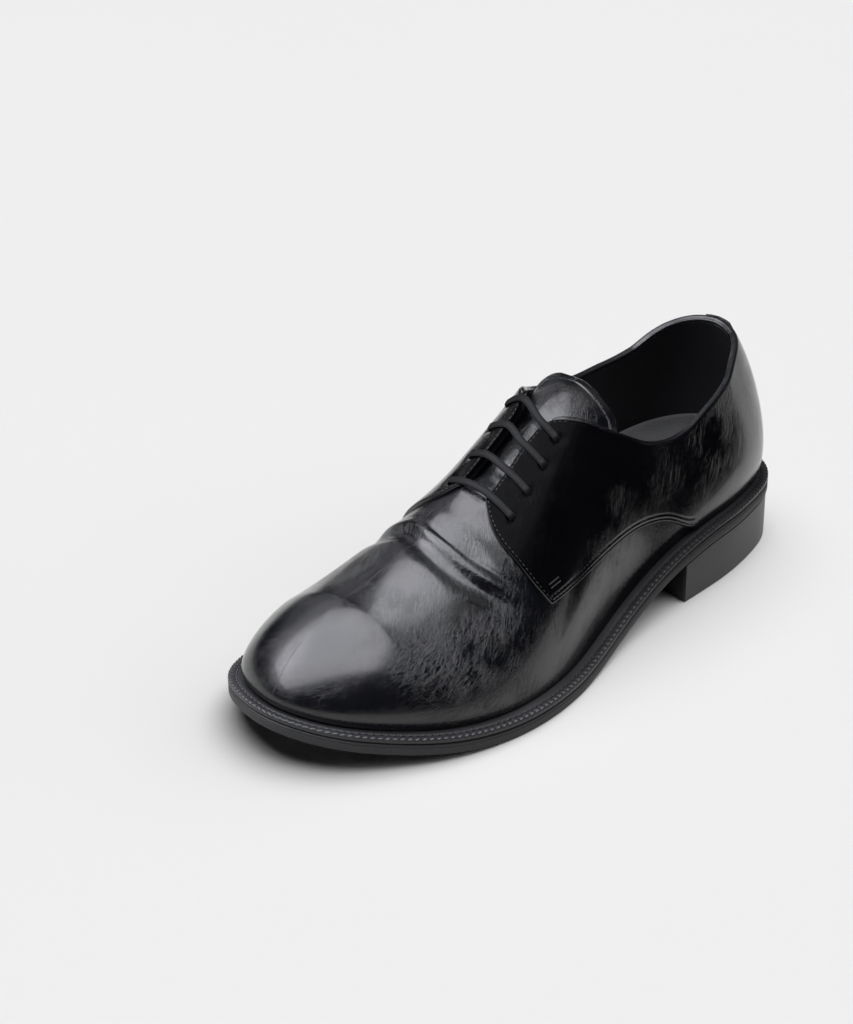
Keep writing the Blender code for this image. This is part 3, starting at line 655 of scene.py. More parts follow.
def buildFleckGroup():
    # small uneven dots and streaks of moulded rubber, waxed edges and brushed linings
    group = bpy.data.node_groups.new("fleck", "ShaderNodeTree")
    ins = [
        ("Place", "NodeSocketVector", None),
        ("Scale", "NodeSocketFloat", 900.0),
        ("Spread", "NodeSocketFloat", 0.1),
        ("Dark", "NodeSocketColor", (0.01, 0.01, 0.011, 1)),
        ("Light", "NodeSocketColor", (0.03, 0.03, 0.032, 1)),
        ("Base Rough", "NodeSocketFloat", 0.5),
    ]
    outs = [("Colour", "NodeSocketColor"), ("Rough", "NodeSocketFloat"), ("Height", "NodeSocketFloat")]
    gin, gout = socketsOf(group, ins, outs)
    b = NodeBench(group)
    place = gin.outputs["Place"]
    fine = b.noise(place, gin.outputs["Scale"], 4.0, 0.6)
    broad = b.noise(place, 40.0, 3.0, 0.5)
    both = b.math("ADD", b.math("MULTIPLY", fine, 0.6), b.math("MULTIPLY", broad, 0.4))
    colour = b.mix(b.span(both, 0.35, 0.65), gin.outputs["Dark"], gin.outputs["Light"])
    rough = b.math(
        "ADD",
        gin.outputs["Base Rough"],
        b.math("MULTIPLY", b.math("SUBTRACT", both, 0.5), gin.outputs["Spread"]),
    )
    for name, value in (("Colour", colour), ("Rough", rough), ("Height", fine)):
        group.links.new(value, gout.inputs[name])
    return group


calfGroup = buildCalfGroup()
fleckGroup = buildFleckGroup()


def newMaterial(name):
    made = bpy.data.materials.new(name)
    made.use_nodes = True
    bench = NodeBench(made.node_tree)
    return made, bench, made.node_tree.nodes["Principled BSDF"]


def finishSurface(b, shader, surface, spec):
    # colour, roughness and bump of one group into its shader
    bump = b.add("ShaderNodeBump", {"Strength": spec["bump"], "Distance": spec["depth"]})
    b.tree.links.new(surface.outputs["Height"], bump.inputs["Height"])
    b.tree.links.new(surface.outputs["Colour"], shader.inputs["Base Color"])
    b.tree.links.new(surface.outputs["Rough"], shader.inputs["Roughness"])
    b.tree.links.new(bump.outputs["Normal"], shader.inputs["Normal"])
    shader.inputs["Specular IOR Level"].default_value = spec["specular"]


def calfMaterial(name, spec):
    made, b, shader = newMaterial(name)
    place = b.add("ShaderNodeTexCoord").outputs["Object"]
    skin = b.add("ShaderNodeAttribute", attribute_name="skin").outputs["Vector"]
    amount = b.add("ShaderNodeAttribute", attribute_name="wrinkle").outputs["Fac"]
    leather = b.add("ShaderNodeGroup", node_tree=calfGroup)
    wrinkle = b.math("MULTIPLY", amount, spec["wrinkle"])
    for key, value in (("Skin", skin), ("Place", place), ("Wrinkle", wrinkle)):
        b.tree.links.new(value, leather.inputs[key])
    leather.inputs["Grain"].default_value = spec["grain"]
    leather.inputs["Gloss Rough"].default_value = spec["rough"]
    leather.inputs["Dark"].default_value = (*spec["dark"], 1)
    leather.inputs["Light"].default_value = (*spec["light"], 1)
    finishSurface(b, shader, leather, spec)
    shader.inputs["Coat Weight"].default_value = spec["coat"]
    shader.inputs["Coat Roughness"].default_value = spec["coatRough"]
    return made


def fleckMaterial(name, spec):
    made, b, shader = newMaterial(name)
    place = b.add("ShaderNodeTexCoord").outputs["Object"]
    place = b.mapped(place, spec.get("stretch", (1, 1, 1)))
    fleck = b.add("ShaderNodeGroup", node_tree=fleckGroup)
    b.tree.links.new(place, fleck.inputs["Place"])
    fleck.inputs["Scale"].default_value = spec["scale"]
    fleck.inputs["Spread"].default_value = spec["spread"]
    fleck.inputs["Base Rough"].default_value = spec["rough"]
    fleck.inputs["Dark"].default_value = (*spec["dark"], 1)
    fleck.inputs["Light"].default_value = (*spec["light"], 1)
    finishSurface(b, shader, fleck, spec)
    shader.inputs["Sheen Weight"].default_value = spec.get("sheen", 0.0)
    return made


calfLook = {
    "dark": (0.0014, 0.0015, 0.0022),
    "light": (0.0034, 0.0036, 0.0048),
    "rough": 0.135,
    "wrinkle": 1.0,
    "grain": 0.28,
    "bump": 0.9,
    "depth": 0.00022,
    "specular": 0.5,
    "coat": 0.3,
    "coatRough": 0.09,
}
calf = calfMaterial("polished calf", calfLook)
liningLook = {
    "scale": 1200.0,
    "spread": 0.12,
    "rough": 0.62,
    "dark": (0.006, 0.006, 0.007),
    "light": (0.012, 0.012, 0.014),
    "bump": 0.25,
    "depth": 0.0002,
    "specular": 0.35,
}
lining = fleckMaterial("lining leather", liningLook)
sockLook = {
    "scale": 1500.0,
    "spread": 0.1,
    "rough": 0.85,
    "dark": (0.004, 0.004, 0.0045),
    "light": (0.026, 0.026, 0.028),
    "bump": 1.0,
    "depth": 0.0007,
    "specular": 0.25,
    "sheen": 0.3,
}
sock = fleckMaterial("brushed sock", sockLook)
rubberLook = {
    "scale": 1400.0,
    "spread": 0.12,
    "rough": 0.55,
    "dark": (0.010, 0.010, 0.011),
    "light": (0.018, 0.018, 0.020),
    "bump": 0.35,
    "depth": 0.0002,
    "specular": 0.45,
}
rubber = fleckMaterial("sole rubber", rubberLook)
heelLook = {
    "scale": 1100.0,
    "spread": 0.1,
    "rough": 0.42,
    "dark": (0.010, 0.010, 0.011),
    "light": (0.018, 0.018, 0.020),
    "bump": 0.25,
    "depth": 0.00015,
    "specular": 0.5,
    "stretch": (0.25, 0.25, 3.0),
}
heelBlock = fleckMaterial("heel block", heelLook)
weltLook = {
    "scale": 1300.0,
    "spread": 0.16,
    "rough": 0.40,
    "dark": (0.008, 0.008, 0.009),
    "light": (0.018, 0.018, 0.020),
    "bump": 0.35,
    "depth": 0.00015,
    "specular": 0.5,
}
waxedWelt = fleckMaterial("waxed welt", weltLook)
threadLook = {
    "scale": 3000.0,
    "spread": 0.1,
    "rough": 0.4,
    "dark": (0.006, 0.006, 0.007),
    "light": (0.022, 0.022, 0.024),
    "bump": 0.4,
    "depth": 0.0001,
    "specular": 0.5,
}
thread = fleckMaterial("waxed thread", threadLook)
cordLook = {
    "scale": 2600.0,
    "spread": 0.14,
    "rough": 0.5,
    "dark": (0.0012, 0.0012, 0.0015),
    "light": (0.005, 0.005, 0.006),
    "bump": 0.9,
    "depth": 0.00025,
    "specular": 0.2,
}
cord = fleckMaterial("lace cotton", cordLook)
print("materials ready")

# Upper: vamp and lined body

upperSizes = {"stations": 400, "shares": 64, "wall": 0.0020}


def skinCoordinates(station, side, share):
    # metres along the foot and round it, for the wrinkles
    along = np.broadcast_to(station, np.shape(share)) * footLength
    around = np.asarray(share) * girthSpan * np.asarray(side, float)
    return np.stack([along, around, np.zeros(np.shape(share))], -1)


wrinkleSpots = [  # station, side, share, spread in mm, amount
    (0.735, outer, 0.36, 20, 1.0),
    (0.700, outer, 0.30, 18, 1.0),
    (0.760, outer, 0.55, 18, 0.5),
    (0.740, inner, 0.80, 13, 0.9),
    (0.640, outer, 0.70, 14, 0.7),
    (0.600, outer, 0.55, 12, 0.4),
    (0.560, outer, 0.60, 16, 0.9),
    (0.480, outer, 0.45, 22, 0.5),
    (0.300, outer, 0.22, 22, 0.4),
    (0.220, outer, 0.28, 26, 0.4),
    (0.120, outer, 0.30, 22, 0.5),
    (0.500, inner, 0.60, 24, 0.6),
    (0.220, inner, 0.25, 24, 0.8),
    (0.680, inner, 0.45, 24, 0.8),
]


def wrinkleAmount(points):
    total = np.full(points.shape[:-1], 0.10)
    for station, side, share, spread, amount in wrinkleSpots:
        centre = lastPoint(station, side, share)
        away = np.linalg.norm(points - centre, axis=-1) / (spread * mm)
        total = total + 0.5 * amount * np.exp(-(away**2))
    return np.minimum(total, 0.7)


def makeUpper():
    sizes = upperSizes
    throat = lastSizes["throatEnd"]
    before = np.linspace(0, throat, int(sizes["stations"] * throat), endpoint=False)
    stations = np.concatenate([
        before,
        [throat - 1e-4],
        np.linspace(throat, 1, int(sizes["stations"] * (1 - throat)) + 1),
    ])
    part = np.linspace(0, 1, sizes["shares"])
    points, normals, skins, faces = [], [], [], []
    for side in (outer, inner):
        start = sum(len(p) for p in points)
        top = np.where(stations < throat - 1e-6, topShare(stations, side), 1.0)
        share = top[:, None] * part[None]
        station = np.repeat(stations[:, None], len(part), 1)
        points.append(skinPoint(station, side, share, 0.0).reshape(-1, 3))
        normals.append(lastNormal(station, np.full(share.shape, side), share).reshape(-1, 3))
        skins.append(skinCoordinates(station, side, share).reshape(-1, 3))
        quads = gridFaces(len(stations), len(part), start=start)
        faces.append(quads if side == outer else quads[:, ::-1])
    points, normals, skins, faces = map(np.vstack, (points, normals, skins, faces))
    _, first, back = np.unique(np.round(points, 6), axis=0, return_index=True, return_inverse=True)
    back = np.asarray(back).ravel()
    points, normals, skins = points[first], normals[first], skins[first]
    faces = back[faces]
    count = len(points)
    edges = {}
    for face in faces:
        corners = list(dict.fromkeys(face.tolist()))
        for a, b in zip(corners, corners[1:] + corners[:1]):
            if (b, a) in edges:
                del edges[(b, a)]
            else:
                edges[(a, b)] = True
    rim = [(b, a, a + count, b + count) for a, b in edges]
    cleaned = [tuple(dict.fromkeys(face)) for face in faces.tolist()]
    outside = [face for face in cleaned if len(face) > 2]
    inside = [tuple(c + count for c in face[::-1]) for face in outside]
    everything = np.vstack([points, points - normals * sizes["wall"]])
    everything[count:, 2] = np.maximum(everything[count:, 2], upperFoot(everything[count:, 1]))
    attributes = {"skin": np.vstack([skins, skins]), "wrinkle": np.tile(wrinkleAmount(points), 2)}
    slots = [0] * len(outside) + [1] * len(inside) + [0] * len(rim)
    thing = makePiece(
        "upper_shell",
        everything,
        outside + inside + rim,
        [calf, lining],
        slots,
        attributes,
        crease=50,
    )
    return finishPiece(thing, ["upper"])


makeUpper()

# Quarters

quarterSizes = {  # mm, and a station for what ends in At
    "bottom": 0.05,
    "top": 1.75,
    "edgeRound": 0.75,
    "stations": 150,
    "middle": 78,
    "fine": [0.0, 0.10, 0.25, 0.45, 0.75, 1.15, 1.55, 1.85, 2.15, 2.5, 2.9, 3.3, 3.7, 4.1, 4.6, 5.4],
    "seamDepth": 0.16,
    "seamWide": 0.38,
    "seamIn": 1.5,
    "secondSeamIn": 3.1,
    "dimpleWide": 2.0,
    "dimpleDepth": 1.15,
    "wrinkle": 0.6,
    "tackIn": (6.2, 7.9),
    "tackFrom": 4.0,
    "tackTo": 10.0,
    "collarEndAt": 0.46,
    "throatSeamAt": 0.475,
    "weltShare": 0.004,  # a lower edge below this share runs into the welt and has no seam
}


def edgeProfile(distance, radius):
    s = np.clip(distance / radius, 0, 1)
    return 0.12 + 0.88 * np.sqrt(1 - (1 - s) ** 2)


def quarterGrid(side):
    sizes = quarterSizes
    throat = lastSizes["throatEnd"]
    fineShare = np.array(sizes["fine"]) * mm / footLength
    spots = np.concatenate([
        np.linspace(0, throat - fineShare[-1], sizes["stations"], endpoint=False),
        throat - fineShare[::-1],
    ])
    rows = []
    for station in spots:
        s = min(station, throat - 1e-4)
        low, top = max(float(lowAt(s)), 0.0), float(topShare(s, side))
        trial = lastPoint(s, side, np.linspace(low, top, 24))
        length = np.linalg.norm(np.diff(trial, axis=0), axis=1).sum()
        way = distanceSteps(length / mm, sizes["fine"], sizes["middle"])
        rows.append((way, low + (top - low) * way, way * length / mm, (1 - way) * length / mm))
    way, share, fromLow, fromTop = (np.array([row[k] for row in rows]) for k in range(4))
    nearFront = np.clip((spots - lastSizes["frontBlend"]) / (throat - lastSizes["frontBlend"]), 0, None)
    station = spots[:, None] + (frontAt(way) - throat) * (nearFront**2)[:, None]
    fromFront = (station[-1] - station) * footLength / mm
    return station, share, fromLow, fromTop, fromFront


def eyeletPlace(row, side):
    outerStation, outerShare, innerStation, innerShare = eyeletRows[row]
    station, share = (outerStation, outerShare) if side == outer else (innerStation, innerShare)
    return station, share


def makeQuarter(name, side, node):
    sizes = quarterSizes
    station, share, fromLow, fromTop, fromFront = quarterGrid(side)
    onCollar = station < sizes["collarEndAt"]
    fromThroat = np.where(onCollar, 99.0, fromTop)
    onWelt = lowAt(station) < sizes["weltShare"]
    fromLower = np.where(onWelt, 99.0, fromLow)
    edge = np.minimum(np.minimum(fromFront, fromThroat), np.where(onWelt, 99.0, fromLow))
    lift = sizes["bottom"] + (sizes["top"] - sizes["bottom"]) * edgeProfile(edge, sizes["edgeRound"])
    seam = np.minimum(fromFront, fromThroat)
    groove = np.exp(-(((np.minimum(seam, fromLower) - sizes["seamIn"]) / sizes["seamWide"]) ** 2))
    second = np.exp(-(((fromLower - sizes["secondSeamIn"]) / sizes["seamWide"]) ** 2))
    groove = groove + second * (seam > sizes["seamIn"])
    lift = lift - sizes["seamDepth"] * groove
    base = lastPoint(station, side, share)
    for row in range(len(eyeletRows)):
        s, w = eyeletPlace(row, side)
        gap = np.linalg.norm(base - lastPoint(s, side, w), axis=-1) / mm
        lift = lift - sizes["dimpleDepth"] * np.exp(-((gap / sizes["dimpleWide"]) ** 2))
    high = skinPoint(station, side, share, lift * mm)
    low = skinPoint(station, side, share, sizes["bottom"] * mm)
    gapAtBack = 0.02 * mm
    high[0, :, 0] = xShift + side * gapAtBack
    low[0, :, 0] = xShift + side * gapAtBack
    rows, across = share.shape
    points = np.vstack([low.reshape(-1, 3), high.reshape(-1, 3)])
    skin = skinCoordinates(station, side, share).reshape(-1, 3)
    attributes = {
        "skin": np.vstack([skin, skin]),
        "wrinkle": np.tile(wrinkleAmount(base).ravel() * sizes["wrinkle"], 2),
    }
    thing = makePiece(name, points, shellFaces(rows, across), [calf], None, attributes, crease=60)
    return finishPiece(thing, [node])


makeQuarter("quarter_outer_leather", outer, "quarter_outer")
makeQuarter("quarter_inner_leather", inner, "quarter_inner")

# Stitching

stitchSizes = {"pitch": 2.2, "length": 1.6, "wide": 0.36, "thick": 0.30}
tackThread = {"pitch": 1.0, "length": 1.3, "wide": 0.6, "thick": 0.6}


def threadRow(path, normals, spec):
    # small rounded stitches along a line of points; returns points and faces
    pitch, length = spec["pitch"] * mm, spec["length"] * mm
    wide, thick = spec["wide"] * mm / 2, spec["thick"] * mm / 2
    spans = runAlong(path)
    count = max(int(spans[-1] / pitch), 1)
    points, faces = [], []
    ring, around = 5, 6
    for k in range(count):
        centre = (k + 0.5) * spans[-1] / count
        places = np.linspace(-0.5, 0.5, ring)
        where = centre + places * length
        spine = np.stack([np.interp(where, spans, path[:, a]) for a in range(3)], 1)
        up = np.stack([np.interp(where, spans, normals[:, a]) for a in range(3)], 1)
        along = spine[-1] - spine[0]
        along /= np.linalg.norm(along)
        up = up / np.linalg.norm(up, axis=1)[:, None]
        across = np.cross(up, along)
        fat = np.sqrt(np.maximum(1 - (2 * places) ** 2, 0.03))
        drop = -thick * 1.3 * (2 * np.abs(places)) ** 3
        start = len(points)
        for r in range(ring):
            for a in range(around):
                turn = 2 * pi * a / around
                high = thick * fat[r] * sin(turn) + drop[r]
                points.append(spine[r] + across[r] * wide * fat[r] * cos(turn) + up[r] * high)
        faces += (gridFaces(ring, around, closedAcross=True) + start).tolist()
        faces.append([start + a for a in range(around)][::-1])
        faces.append([start + (ring - 1) * around + a for a in range(around)])
    return points, faces


def joinRows(name, rows, finish):
    points, faces = [], []
    for rowPoints, rowFaces in rows:
        faces += [[c + len(points) for c in face] for face in rowFaces]
        points += rowPoints
    return makePiece(name, points, faces, [finish], weld=0)


def stitchAlong(station, side, share, height, spec=stitchSizes):
    station, share = np.asarray(station, float), np.asarray(share, float)
    path = skinPoint(station, side, share, height * mm)
    return threadRow(path, lastNormal(station, np.full(share.shape, side), share), spec)


def quarterLine(station, share, fromEdge, distance):
    # for every row or column of the quarter's grid, the place at a distance from one edge
    found = []
    for s, w, d in zip(station, share, fromEdge):
        order = np.argsort(d)
        found.append((np.interp(distance, d[order], s[order]), np.interp(distance, d[order], w[order])))
    return np.array(found)


def quarterStitches(side):
    sizes = quarterSizes
    station, share, fromLow, fromTop, fromFront = quarterGrid(side)
    height = sizes["top"] - sizes["seamDepth"] * 0.6
    rows = []
    inset = sizes["seamIn"]
    throatRows = (station.mean(1) > sizes["throatSeamAt"]) & (fromFront[:, -1] > inset)
    line = quarterLine(station[throatRows], share[throatRows], fromTop[throatRows], inset)
    rows.append(stitchAlong(line[:, 0], side, line[:, 1], height))
    columns = (fromLow[-1] > inset) & (fromTop[-1] > inset)
    line = quarterLine(station.T[columns], share.T[columns], fromFront.T[columns], inset)
    rows.append(stitchAlong(line[:, 0], side, line[:, 1], height))
    for distance in sizes["tackIn"]:  # the bar tack over the corner
        tackRows = (fromFront[:, 4] > sizes["tackFrom"]) & (fromFront[:, 4] < sizes["tackTo"])
        line = quarterLine(station[tackRows], share[tackRows], fromLow[tackRows], distance)
        rows.append(stitchAlong(line[:, 0], side, line[:, 1], sizes["top"] + 0.1, tackThread))
    for distance in (sizes["seamIn"], sizes["secondSeamIn"]):
        lowerRows = (lowAt(station[:, 0]) > sizes["weltShare"]) & (fromFront[:, 4] > inset)
        line = quarterLine(station[lowerRows], share[lowerRows], fromLow[lowerRows], distance)
        rows.append(stitchAlong(line[:, 0], side, line[:, 1], height))
    return rows


bothQuarters = quarterStitches(outer) + quarterStitches(inner)
finishPiece(joinRows("stitching_quarters", bothQuarters, thread), [])

# Backstay

backstaySizes = {
    "wide": 19.0,
    "bottom": 1.70,
    "top": 2.75,
    "edgeRound": 0.6,
    "seamIn": 1.9,
    "seamDepth": 0.14,
    "seamWide": 0.4,
    "wrinkle": 0.4,
    "stitchRows": 60,
}


def makeBackstay():
    sizes = backstaySizes
    turn = sizes["wide"] * mm / 2 / reaches[outer][0]
    edge = turn / (pi / 2) * lastSizes["heelSide"]
    x = np.concatenate([[0, 0.1, 0.25, 0.5, 0.9, 1.3, 1.7, 2.1, 2.6], np.linspace(3.2, sizes["wide"] / 2, 9)])
    fromEdge = np.concatenate([x, x[-2::-1]])
    part = np.concatenate([x - sizes["wide"] / 2, sizes["wide"] / 2 - x[-2::-1]]) / (sizes["wide"] / 2)
    station = np.abs(part) * edge
    side = np.where(part >= 0, outer, inner)
    way = np.linspace(0, 1, 70)
    share = topShare(station, side)[:, None] * way[None]
    stations, sides = np.repeat(station[:, None], len(way), 1), np.repeat(side[:, None], len(way), 1)
    lift = sizes["bottom"] + (sizes["top"] - sizes["bottom"]) * edgeProfile(fromEdge, sizes["edgeRound"])
    lift = lift - sizes["seamDepth"] * np.exp(-(((fromEdge - sizes["seamIn"]) / sizes["seamWide"]) ** 2))
    high = skinPoint(stations, sides, share, lift[:, None] * mm)
    low = skinPoint(stations, sides, share, sizes["bottom"] * mm)
    skin = skinCoordinates(stations, sides, share).reshape(-1, 3)
    attributes = {"skin": np.vstack([skin, skin]), "wrinkle": np.full(2 * len(skin), sizes["wrinkle"])}
    points = np.vstack([low.reshape(-1, 3), high.reshape(-1, 3)])
    thing = makePiece(
        "backstay_leather",
        points,
        shellFaces(*share.shape),
        [calf],
        None,
        attributes,
        crease=60,
    )
    finishPiece(thing, ["backstay"])
    rows = []
    seamStation = edge * (1 - sizes["seamIn"] / (sizes["wide"] / 2))
    for sign in (outer, inner):
        top = float(topShare(seamStation, sign))
        seamShare = np.linspace(0.03, top - 0.02, sizes["stitchRows"])
        seamStations = np.full(sizes["stitchRows"], seamStation)
        rows.append(stitchAlong(seamStations, sign, seamShare, sizes["top"] - 0.06))
    finishPiece(joinRows("stitching_backstay", rows, thread), [])


makeBackstay()

# Collar binding

bindingSizes = {
    "endOuter": 0.487,
    "endInner": 0.470,
    "stack": 3.55,
    "high": 1.5,
    "around": 22,
    "groove": 0.28,
    "grooveIn": 0.25,
    "grooveWide": 0.45,
    "proud": 0.2,
    "endTaper": 5.0,
}


def makeBinding():
    sizes = bindingSizes
    forth = np.linspace(sizes["endOuter"], 0, 220, endpoint=False)
    back = np.linspace(0, sizes["endInner"], 200)
    station = np.concatenate([forth, back])
    side = np.concatenate([np.full(len(forth), outer), np.full(len(back), inner)])
    share = topShare(station, side)
    edge = skinPoint(station, side, share, 0.0)
    out = lastNormal(station, side, share)
    along = np.gradient(edge, axis=0)
    along /= np.linalg.norm(along, axis=1)[:, None]
    up = np.cross(along, out)
    up /= np.linalg.norm(up, axis=1)[:, None]
    rise = lastPoint(station, side, share + 0.01) - edge
    up *= np.sign((up * rise).sum(1))[:, None]
    run = runAlong(edge) / mm
    taper = np.clip(np.minimum(run, run[-1] - run) / sizes["endTaper"], 0, 1)
    taper = 0.45 + 0.55 * taper * (2 - taper)
    middle = (quarterSizes["top"] - lastSizes["wall"] / mm) / 2
    halfWide = sizes["stack"] / 2
    points = []
    for k in range(sizes["around"]):
        turn = 2 * pi * k / sizes["around"]
        across = cos(turn) * halfWide
        groove = sizes["groove"] * np.exp(-(((across + sizes["grooveIn"]) / sizes["grooveWide"]) ** 2))
        high = sin(turn) * sizes["high"] * (1 - groove * (sin(turn) > 0))
        sideways = out * ((middle + across * taper) * mm)[:, None]
        points.append(edge + sideways + up * ((high * taper + sizes["proud"]) * mm)[:, None])
    grid = np.array(points).transpose(1, 0, 2)
    rows, around = grid.shape[:2]
    faces = gridFaces(rows, around, closedAcross=True).tolist()
    faces += [list(range(around))[::-1], [(rows - 1) * around + k for k in range(around)]]
    skin = np.stack(
        [
            np.repeat(run[:, None] * mm, around, 1),
            np.tile(np.arange(around) * 0.0004, (rows, 1)),
            np.zeros((rows, around)),
        ],
        -1,
    )
    attributes = {"skin": skin.reshape(-1, 3), "wrinkle": np.full(rows * around, 0.25)}
    thing = makePiece("collar_roll", grid.reshape(-1, 3), faces, [calf], None, attributes, weld=0)
    finishPiece(thing, ["collar_binding"])


makeBinding()

# Tongue

tongueSizes = {  # mm, and stations or shares where the value is below one
    "drop": 17.0,
    "under": -3.2,
    "sunk": 3.4,
    "thick": 2.0,
    "edgeRound": 1.0,
    "flushFrom": 0.562,
    "flushTo": 0.598,
    "top": 0.400,
    "end": 0.601,
    "halfWide": 26,
    "seamIn": 5.2,
    "seamDeep": 0.16,
    "bandDeep": 0.55,
    "cornerFrom": 0.62,
    "cornerDrop": 0.022,
    "cornerLong": 0.12,
}
# station, share at the outer and the inner edge, part of the drop, part of the sink in the middle
tongueRows = [
    (0.400, 0.370, 0.560, 1.00, 0.0),
    (0.425, 0.430, 0.575, 0.62, 0.1),
    (0.455, 0.520, 0.600, 0.27, 0.5),
    (0.490, 0.610, 0.620, 0.05, 1.0),
    (0.530, 0.620, 0.620, 0.00, 1.0),
    (0.580, 0.640, 0.640, 0.00, 0.3),
    (0.640, 0.680, 0.680, 0.00, 0.0),
]
tongueStations = [row[0] for row in tongueRows]
tongueOuter = throughRows(tongueStations, [row[1] for row in tongueRows])
tongueInner = throughRows(tongueStations, [row[2] for row in tongueRows])
tongueFall = throughRows(tongueStations, [row[3] * tongueSizes["drop"] for row in tongueRows])
tongueSink = throughRows(tongueStations, [row[4] * tongueSizes["sunk"] for row in tongueRows])


def tonguePoint(station, across, depth):
    # across runs from -1 on the outer edge to 1 on the inner one
    side = np.where(across < 0, outer, inner)
    middle = 1 - np.abs(across)
    edge = np.where(across < 0, tongueOuter(station), tongueInner(station))
    share = edge + (1 - edge) * middle
    flushFrom, flushTo = tongueSizes["flushFrom"], tongueSizes["flushTo"]
    flush = np.clip((station - flushFrom) / (flushTo - flushFrom), 0, 1)
    flush = flush * flush * (3 - 2 * flush)
    sink = tongueSink(station) * middle * (2 - middle)
    under = (tongueSizes["under"] - sink) * (1 - flush) - 0.04 * flush
    point = skinPoint(station, side, share, (under - depth) * mm)
    fallen = np.where(across < 0, 1 - np.abs(across) ** 2.6, middle * (2 - middle))
    point[..., 2] -= tongueFall(station) * mm * fallen
    return point


def makeTongue():
    sizes = tongueSizes
    top = sizes["top"]
    fine = np.array([0, 0.1, 0.25, 0.5, 0.9, 1.4, 2.0]) * mm / footLength
    station = np.concatenate([top + fine, np.linspace(top + fine[-1], sizes["end"], 110)[1:]])
    side = np.array([0, 0.006, 0.015, 0.03, 0.05, 0.08])
    across = np.concatenate([-1 + side, np.linspace(-0.9, 0.9, 60), 1 - side[::-1]])
    stations, acrosses = np.meshgrid(station, across, indexing="ij")
    fromTop = (stations - top) * footLength / mm
    fromSide = (1 - np.abs(acrosses)) * sizes["halfWide"]
    edge = edgeProfile(np.minimum(fromTop, fromSide), sizes["edgeRound"])
    seam = sizes["seamDeep"] * np.exp(-(((fromTop - sizes["seamIn"]) / 0.4) ** 2))
    outwards = np.clip((np.abs(acrosses) - sizes["cornerFrom"]) / (1 - sizes["cornerFrom"]), 0, 1)
    nearTop = np.clip(1 - (stations - top) / sizes["cornerLong"], 0, 1)
    corner = sizes["cornerDrop"] * outwards**2 * nearTop**2
    band = sizes["bandDeep"] * np.clip((sizes["seamIn"] - fromTop) / 0.5, 0, 1)
    high = tonguePoint(stations + corner, acrosses, sizes["thick"] * (1 - edge) * 0.8 + seam - band)
    low = tonguePoint(stations + corner, acrosses, np.full(stations.shape, sizes["thick"]))
    skin = np.stack([stations * footLength, acrosses * 0.026, np.zeros(stations.shape)], -1).reshape(-1, 3)
    attributes = {"skin": np.vstack([skin, skin]), "wrinkle": np.full(2 * len(skin), 0.5)}
    points = np.vstack([low.reshape(-1, 3), high.reshape(-1, 3)])
    thing = makePiece(
        "tongue_leather",
        points,
        shellFaces(*stations.shape),
        [calf],
        None,
        attributes,
        crease=60,
    )
    finishPiece(thing, ["tongue"])
    seamStation = np.full(60, top + sizes["seamIn"] * mm / footLength)
    acrossLine = np.linspace(-0.93, 0.93, 60)
    line = tonguePoint(seamStation, acrossLine, 0.08)
    normal = tonguePoint(seamStation, acrossLine, -1.0) - line
    normal /= np.linalg.norm(normal, axis=1)[:, None]
    row = threadRow(line, normal, stitchSizes)
    finishPiece(joinRows("stitching_tongue", [row], thread), [])


makeTongue()

# Laces

laceSizes = {
    "wide": 3.3,
    "thick": 0.95,
    "ribs": 3,
    "ribDepth": 0.28,
    "arch": 0.3,
    "dive": [(-0.6, -2.0), (-0.35, 0.2)],  # run from the hole and height, down in the hole
    "rise": [(0.15, 0.72), (1.1, 1.04)],  # run from the hole and share of the height over it
    "along": 90,
    "around": 36,
}


def laceLeg(row, side):
    station, share = eyeletPlace(row, side)
    over = quarterSizes["top"] + laceSizes["thick"] / 2 + 0.05
    point = lastPoint(station, side, share)
    out = lastNormal(station, np.array(side), share)
    ahead = lastPoint(station, side, share + 0.05) - point
    inward = ahead - out * (ahead @ out)
    inward /= np.linalg.norm(inward)
    wide = np.cross(out, inward) * side
    turns = laceSizes["dive"] + [(run, over * part) for run, part in laceSizes["rise"]]
    path = [(point + inward * run * mm + out * height * mm, wide) for run, height in turns]
    edge = float(topShare(station, side))
    for here in np.linspace(share + 0.035, edge, 8):
        rear, front = lastPoint(station - 0.005, side, here), lastPoint(station + 0.005, side, here)
        level = lastPoint(station, side, here) + lastNormal(station, np.array(side), here) * over * mm
        path.append((level, (front - rear) / np.linalg.norm(front - rear)))
    return path


